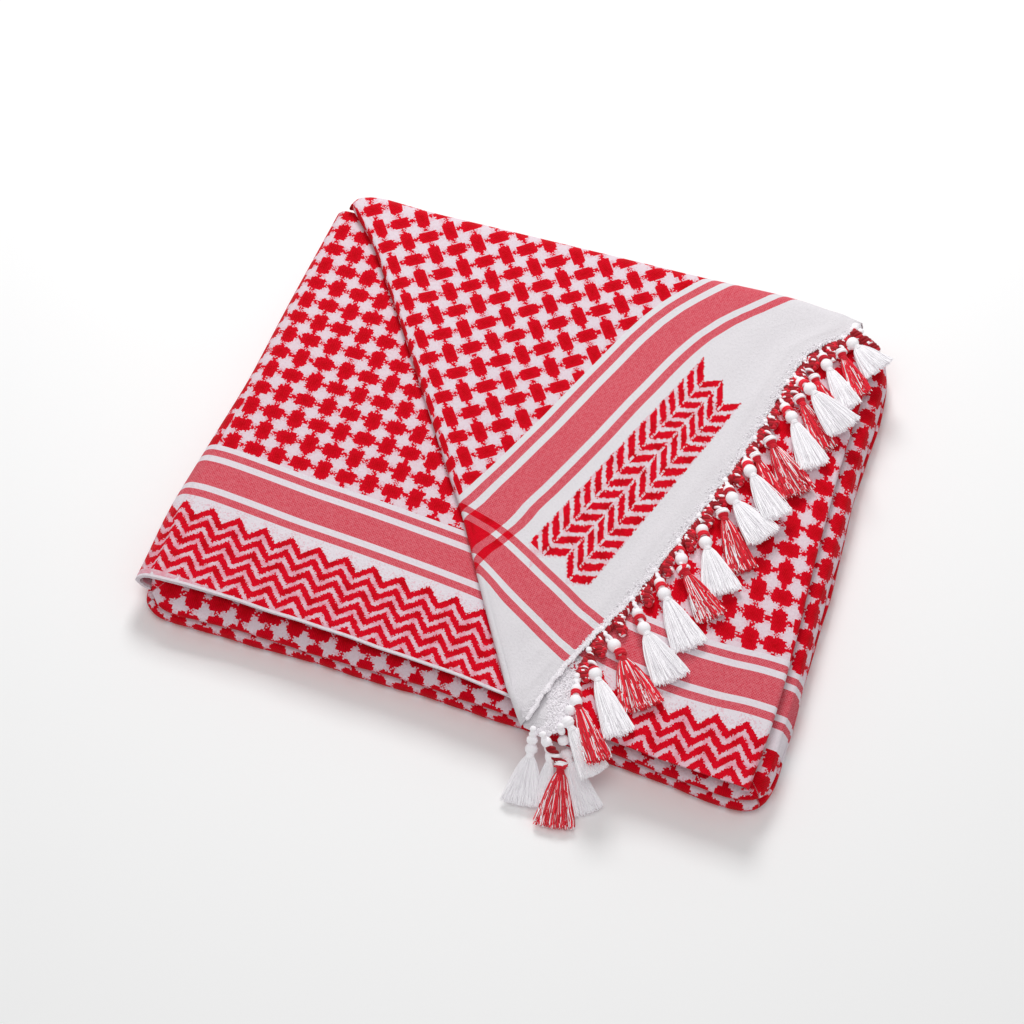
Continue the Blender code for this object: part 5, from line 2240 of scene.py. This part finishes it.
@dataclass
class TasselMaker:
    """Makes the tassels: wound heads on knotted yarn, with fanned skirts of strands."""

    corner: TurnedCorner
    tree: NodeTree
    yarn: Material
    root_offset: float = 0.060
    skirt_reach: float = 0.3  # how far a skirt's strands run past its solid
    braid: float = 0.66
    braid_turns: float = 2.6  # for each check
    last_braid: float = -8.5  # no braid shows past this distance to the front
    strands_per_width: float = 220.0
    strand: float = 0.020
    skirt_thickness: float = 0.34
    skirt_spread: float = 1.22
    skirt_root: float = 0.10
    uneven: float = 0.045
    white_wave: float = 0.04
    red_wave: float = 0.075
    odd_share: float = 0.32  # how many strands of a red skirt are nearly white
    bead_width: float = 0.54

    def hem_line(self, leaf: Leaf) -> Array:
        """Plan points along one edge of the corner.

        Args:
            leaf: which edge.

        Returns:
            The points, as rows of two.
        """
        rows = spline(FLAP_SECTIONS, 200)
        if leaf is Leaf.UPPER:
            return rows[:, 2:4]
        if leaf is Leaf.UNDER:
            return rows[:, 4:6]
        steps = np.linspace(0, 1, 41)[:, None]
        return rows[-1, 0:2] * (1 - steps) + rows[-1, 4:6] * steps

    def root(self, tassel: Tassel) -> Array:
        """The middle of the root knot, just off the nearest point of its hem.

        Args:
            tassel: its row of the table.

        Returns:
            The place in checks.
        """
        line = self.hem_line(tassel.leaf)
        wanted = np.array([tassel.root_x, tassel.root_y])
        nearest = int(np.argmin(np.linalg.norm(line - wanted, axis=1)))
        point = line[nearest]
        run = line[min(nearest + 1, len(line) - 1)] - line[max(nearest - 1, 0)]
        along = run / np.linalg.norm(run)
        outward = np.array([along[1], -along[0]])
        if outward @ np.array(turned(tassel.neck_turn).to_2d()) < 0:
            outward = -outward
        x, y = np.array([point[0]]), np.array([point[1]])
        place = self.corner.on_stack(x, y, np.array([PACK / 2]))[0]
        return place + np.array([*outward, 0.0]) * (self.root_offset + GAP)

    def build(self, tassel: Tassel, seed: int) -> Object:
        """One tassel as a single piece.

        Args:
            tassel: its row of the table.
            seed: what its random strands start from.

        Returns:
            The linked piece.
        """
        hung = np.array([tassel.root_x, tassel.root_y, 0.0])
        bead = hung + np.array(turned(tassel.neck_turn)) * (tassel.neck + self.root_offset)
        bead[2] = tassel.bead_z
        end = bead + np.array(turned(tassel.skirt_turn)) * (tassel.skirt + self.skirt_reach)
        end[2] = tassel.end_z
        pile = Pile()
        self.wind_head(pile, tassel, bead, end)
        self.wind_braid(pile, tassel, seed)
        head = pile.mesh(tassel.name + "_head")
        head.materials.append(self.yarn)
        skirt = self.grow_skirt(tassel, bead, end, seed)
        return joined(tassel.name + "_yarn", [head, skirt])

    def wind_head(self, pile: Pile, tassel: Tassel, bead: Array, end: Array) -> None:
        """Winds the root knot, the parts of the head and the yarn that ties the skirt.

        Args:
            pile: what gathers the shapes.
            tassel: its row of the table.
            bead: the end of its neck.
            end: the end of its skirt.
        """
        size = min(1.0, 0.55 + 0.45 * tassel.width)
        neck = Neck(self.root(tassel), bead, end, self.bead_width * size)
        pile.bead(neck.root + neck.way * 0.02, neck.way, 0.30, 0.30, 0.0, 3, 0.12)
        pile.bead(neck.root - neck.way * 0.14 + RISE, neck.way, 0.26, 0.26, 0.0, 3, 0.12)
        for part in tassel.head.value:
            part.wind(pile, neck)
        pile.wraps(bead + neck.down * 0.29, neck.down, 0.135 * size, 0.035, 3, float(tassel.red))

    def wind_braid(self, pile: Pile, tassel: Tassel, seed: int) -> None:
        """Winds the knotted braid that hangs from the under leaf beside a tassel.

        Args:
            pile: what gathers the shapes.
            tassel: its row of the table.
            seed: what the braid's small differences start from.
        """
        if tassel.leaf is Leaf.TIP or tassel is TASSELS[-1] or tassel.root_y < self.last_braid:
            return
        following = TASSELS[tassel.number]
        draw = np.random.default_rng(seed)
        here, there = self.root(tassel), self.root(following)
        root = (here + there) / 2
        way = np.array(turned((tassel.neck_turn + following.neck_turn) / 2 + draw.uniform(-9, 9)))
        start = root - way * 0.12
        start[2] = FLAP_BASE + 0.13
        end = root + way * (self.braid + draw.uniform(-0.12, 0.12))
        end[2] = FLAP_BASE + 0.15
        if tassel is TASSELS[0]:  # the cord and the knots at the hem's back end
            pile.twist(root + [0.0, 0.10, 0.30], root + [1.25, -0.30, 0.05], 0.13, 0.085, 3.0,
                       (1.0, 0.7, 0.9))
            pile.bead(root + [0.0, 0.36, 0.14], way, 0.30, 0.34, 0.0, 3, 0.12)
            pile.bead(root + [0.02, 0.60, 0.02], way, 0.36, 0.40, 0.0, 3, 0.12)
        low = np.array([0.0, 0.0, FLAP_BASE + 0.11])
        cord_start, cord_end = here * LEVEL + low, there * LEVEL + low
        along = float(np.linalg.norm(cord_end - cord_start))
        pile.twist(cord_start, cord_end, 0.10, 0.08, self.braid_turns * along, (1.0, 0.75, 1.0))
        pile.twist(start, end, 0.12, 0.085, self.braid_turns * self.braid, (1.0, 0.68, 1.0, 0.85))
        side = np.array([-way[1], way[0], 0.0])
        for step, over in ((0.22, 0.10), (0.5, -0.12), (0.78, 0.08)):
            knot = start + (end - start) * step + side * over
            pile.wraps(knot, way + side * over * 4, 0.12, 0.06, 2, draw.choice((0.6, 0.85, 1.0)))
        pile.bead(end, way, 0.26, 0.30, 0.8, 3, 0.2)

    def grow_skirt(self, tassel: Tassel, bead: Array, end: Array,
                   seed: int) -> Mesh:
        """Fans the strands out from under the bead.

        Args:
            tassel: its row of the table.
            bead: the end of its neck.
            end: the end of its skirt.
            seed: what its random strands start from.

        Returns:
            The strands' mesh, at its place.
        """
        way = end - bead
        length = float(np.linalg.norm(way))
        way = way / length
        start = bead + way * 0.20
        mesh = grown(self.tree, {
            "Strands": int(self.strands_per_width * (0.45 + 0.55 * tassel.width)),
            "Length": (length - 0.18) * CHECK,
            "Width": self.skirt_spread * tassel.width * CHECK,
            "Root": self.skirt_root * CHECK,
            "Thickness": self.skirt_thickness * CHECK,
            "Radius": self.strand * CHECK,
            "Uneven": self.uneven,
            "Wave": (self.red_wave if tassel.red else self.white_wave) * CHECK,
            "Odd share": self.odd_share if tassel.red else 0.0,
            "Main red": float(tassel.red),
            "Seed": seed,
            "Material": self.yarn,
        })
        x_way = Vector(way)
        y_way = Vector((0, 0, 1)).cross(x_way).normalized()
        z_way = x_way.cross(y_way)
        turn = Matrix((x_way, y_way, z_way)).transposed().to_4x4()
        mesh.transform(Matrix.Translation(Vector(start) * CHECK) @ turn)
        return mesh


def joined(name: str, meshes: Sequence[Mesh]) -> Object:
    """Joins meshes that share one material into one smooth, outward-facing piece.

    Args:
        name: the piece's name.
        meshes: what it is made of.

    Returns:
        The linked object.
    """
    bm = bmesh.new()
    for mesh in meshes:
        bm.from_mesh(mesh)
    bmesh.ops.recalc_face_normals(bm, faces=bm.faces)
    made = bpy.data.meshes.new(name)
    bm.to_mesh(made)
    bm.free()
    for material in meshes[0].materials:
        made.materials.append(material)
    made.shade_smooth()
    piece = bpy.data.objects.new(name, made)
    bpy.context.scene.collection.objects.link(piece)
    return piece


# ---------------------------------------------------------------- the studio
Place = tuple[float, float, float]


@dataclass(frozen=True)
class Lamp:
    """One soft square light that looks at the middle of the stack."""

    name: str
    place: Place
    size: float
    power: float

    def hang(self) -> None:
        """Hangs the light in the scene."""
        data = bpy.data.lights.new(self.name, "AREA")
        data.size = self.size
        data.energy = self.power
        light = bpy.data.objects.new(self.name, data)
        light.location = self.place
        light.rotation_mode = "QUATERNION"
        light.rotation_quaternion = Vector(self.place).to_track_quat("Z", "Y")
        bpy.context.scene.collection.objects.link(light)


@dataclass
class Studio:
    """The pale floor, the soft light and the camera."""

    lens: float = 87.89
    sensor: float = 36.0
    heading: float = 20.15
    elevation: float = 56.37
    distance: float = 99.45
    target: Place = (-0.15, -2.82, STACK_HEIGHT)
    clip: tuple[float, float] = (0.05, 20.0)
    floor_half: float = 6.0
    floor_depth: float = 0.0001  # how far under the stack it lies
    floor_shade: float = 0.97
    floor_roughness: float = 0.9
    floor_gloss: float = 0.1
    glow: float = 0.42  # the light from all round
    lamps: tuple[Lamp, ...] = (
        Lamp("key", (-0.28, 0.78, 0.95), 0.42, 8.7),
        Lamp("fill", (0.06, -0.40, 1.36), 0.7, 4.3),
    )

    def place_camera(self) -> None:
        """Puts the camera at its place and makes it the scene's own."""
        across, up = radians(self.heading), radians(self.elevation)
        back = Vector((sin(across) * cos(up), -cos(across) * cos(up), sin(up)))
        data = bpy.data.cameras.new("camera")
        data.lens = self.lens
        data.sensor_width = self.sensor
        data.clip_start, data.clip_end = self.clip
        camera = bpy.data.objects.new("camera", data)
        camera.location = (Vector(self.target) + back * self.distance) * CHECK
        camera.rotation_mode = "QUATERNION"
        camera.rotation_quaternion = back.to_track_quat("Z", "Y")
        bpy.context.scene.collection.objects.link(camera)
        bpy.context.scene.camera = camera

    def lay_floor(self) -> None:
        """A wide pale floor just under the stack."""
        mesh = bpy.data.meshes.new("floor")
        half = self.floor_half
        corners = [(-half, -half), (half, -half), (half, half), (-half, half)]
        mesh.from_pydata([(x, y, -self.floor_depth) for x, y in corners], [], [(0, 1, 2, 3)])
        floor = bpy.data.objects.new("floor", mesh)
        material = bpy.data.materials.new("pale_floor")
        material.use_nodes = True
        shader = material.node_tree.nodes["Principled BSDF"]
        shader.inputs["Base Color"].default_value = (*(self.floor_shade,) * 3, 1.0)
        shader.inputs["Roughness"].default_value = self.floor_roughness
        shader.inputs["Specular IOR Level"].default_value = self.floor_gloss
        mesh.materials.append(material)
        bpy.context.scene.collection.objects.link(floor)

    def light(self) -> None:
        """Soft studio light, a little stronger from the left and the back."""
        world = bpy.data.worlds.new("studio")
        world.use_nodes = True
        background = world.node_tree.nodes["Background"]
        background.inputs["Color"].default_value = (1, 1, 1, 1)
        background.inputs["Strength"].default_value = self.glow
        bpy.context.scene.world = world
        for lamp in self.lamps:
            lamp.hang()
        bpy.context.scene.view_settings.view_transform = "Standard"

    def build(self) -> None:
        """Sets the whole studio up."""
        self.place_camera()
        self.lay_floor()
        self.light()


# ---------------------------------------------------------------- the whole
FIRST_SEED, SEED_STEP = 11, 7  # what the first tassel's strands start from, and the step on


def report(piece: Object) -> None:
    """Reports a finished piece."""
    log.info("%s: %d faces", piece.name, len(piece.data.polygons))


def main() -> None:
    """Dresses the frame."""
    for old in [o for o in bpy.data.objects if o.name in ("Cube", "Light", "Camera")]:
        bpy.data.objects.remove(old)
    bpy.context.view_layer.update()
    groups = PatternGroups.build()
    stack_cloth = STACK_FINISH.material("checked_cotton", groups)
    corner_cloth = CORNER_FINISH.material("corner_cotton", groups)
    core_cloth = CORE_FINISH.material("folded_cotton", groups)
    core = FoldedCore().build()
    panel = UpperPanel().build()
    corner_maker = TurnedCorner()
    corner = corner_maker.build()
    dressing = [
        (core, "folded_core", "checked_cotton", core_cloth),
        (panel, "upper_panel", "bordered_cotton", stack_cloth),
        (corner, "turned_corner", "corner_cotton", corner_cloth),
    ]
    for cloth, node, slot, material in dressing:
        cloth.piece.data.materials.append(material)
        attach(cloth.piece, BODY)
        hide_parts(node)
        report(cloth.piece)
    yarn = YarnFinish().material()
    maker = TasselMaker(corner_maker, StrandTree().build(), yarn)
    fuzz = HemFuzz(FuzzTree().build(), yarn).build(corner_maker)
    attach(fuzz, BODY)
    report(fuzz)
    for n, tassel in enumerate(TASSELS):
        piece = maker.build(tassel, FIRST_SEED + SEED_STEP * n)
        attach(piece, BODY)
        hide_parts(tassel.name)
        report(piece)
    Studio().build()


if __name__ == "__main__":
    logging.basicConfig(level=logging.INFO)
    main()
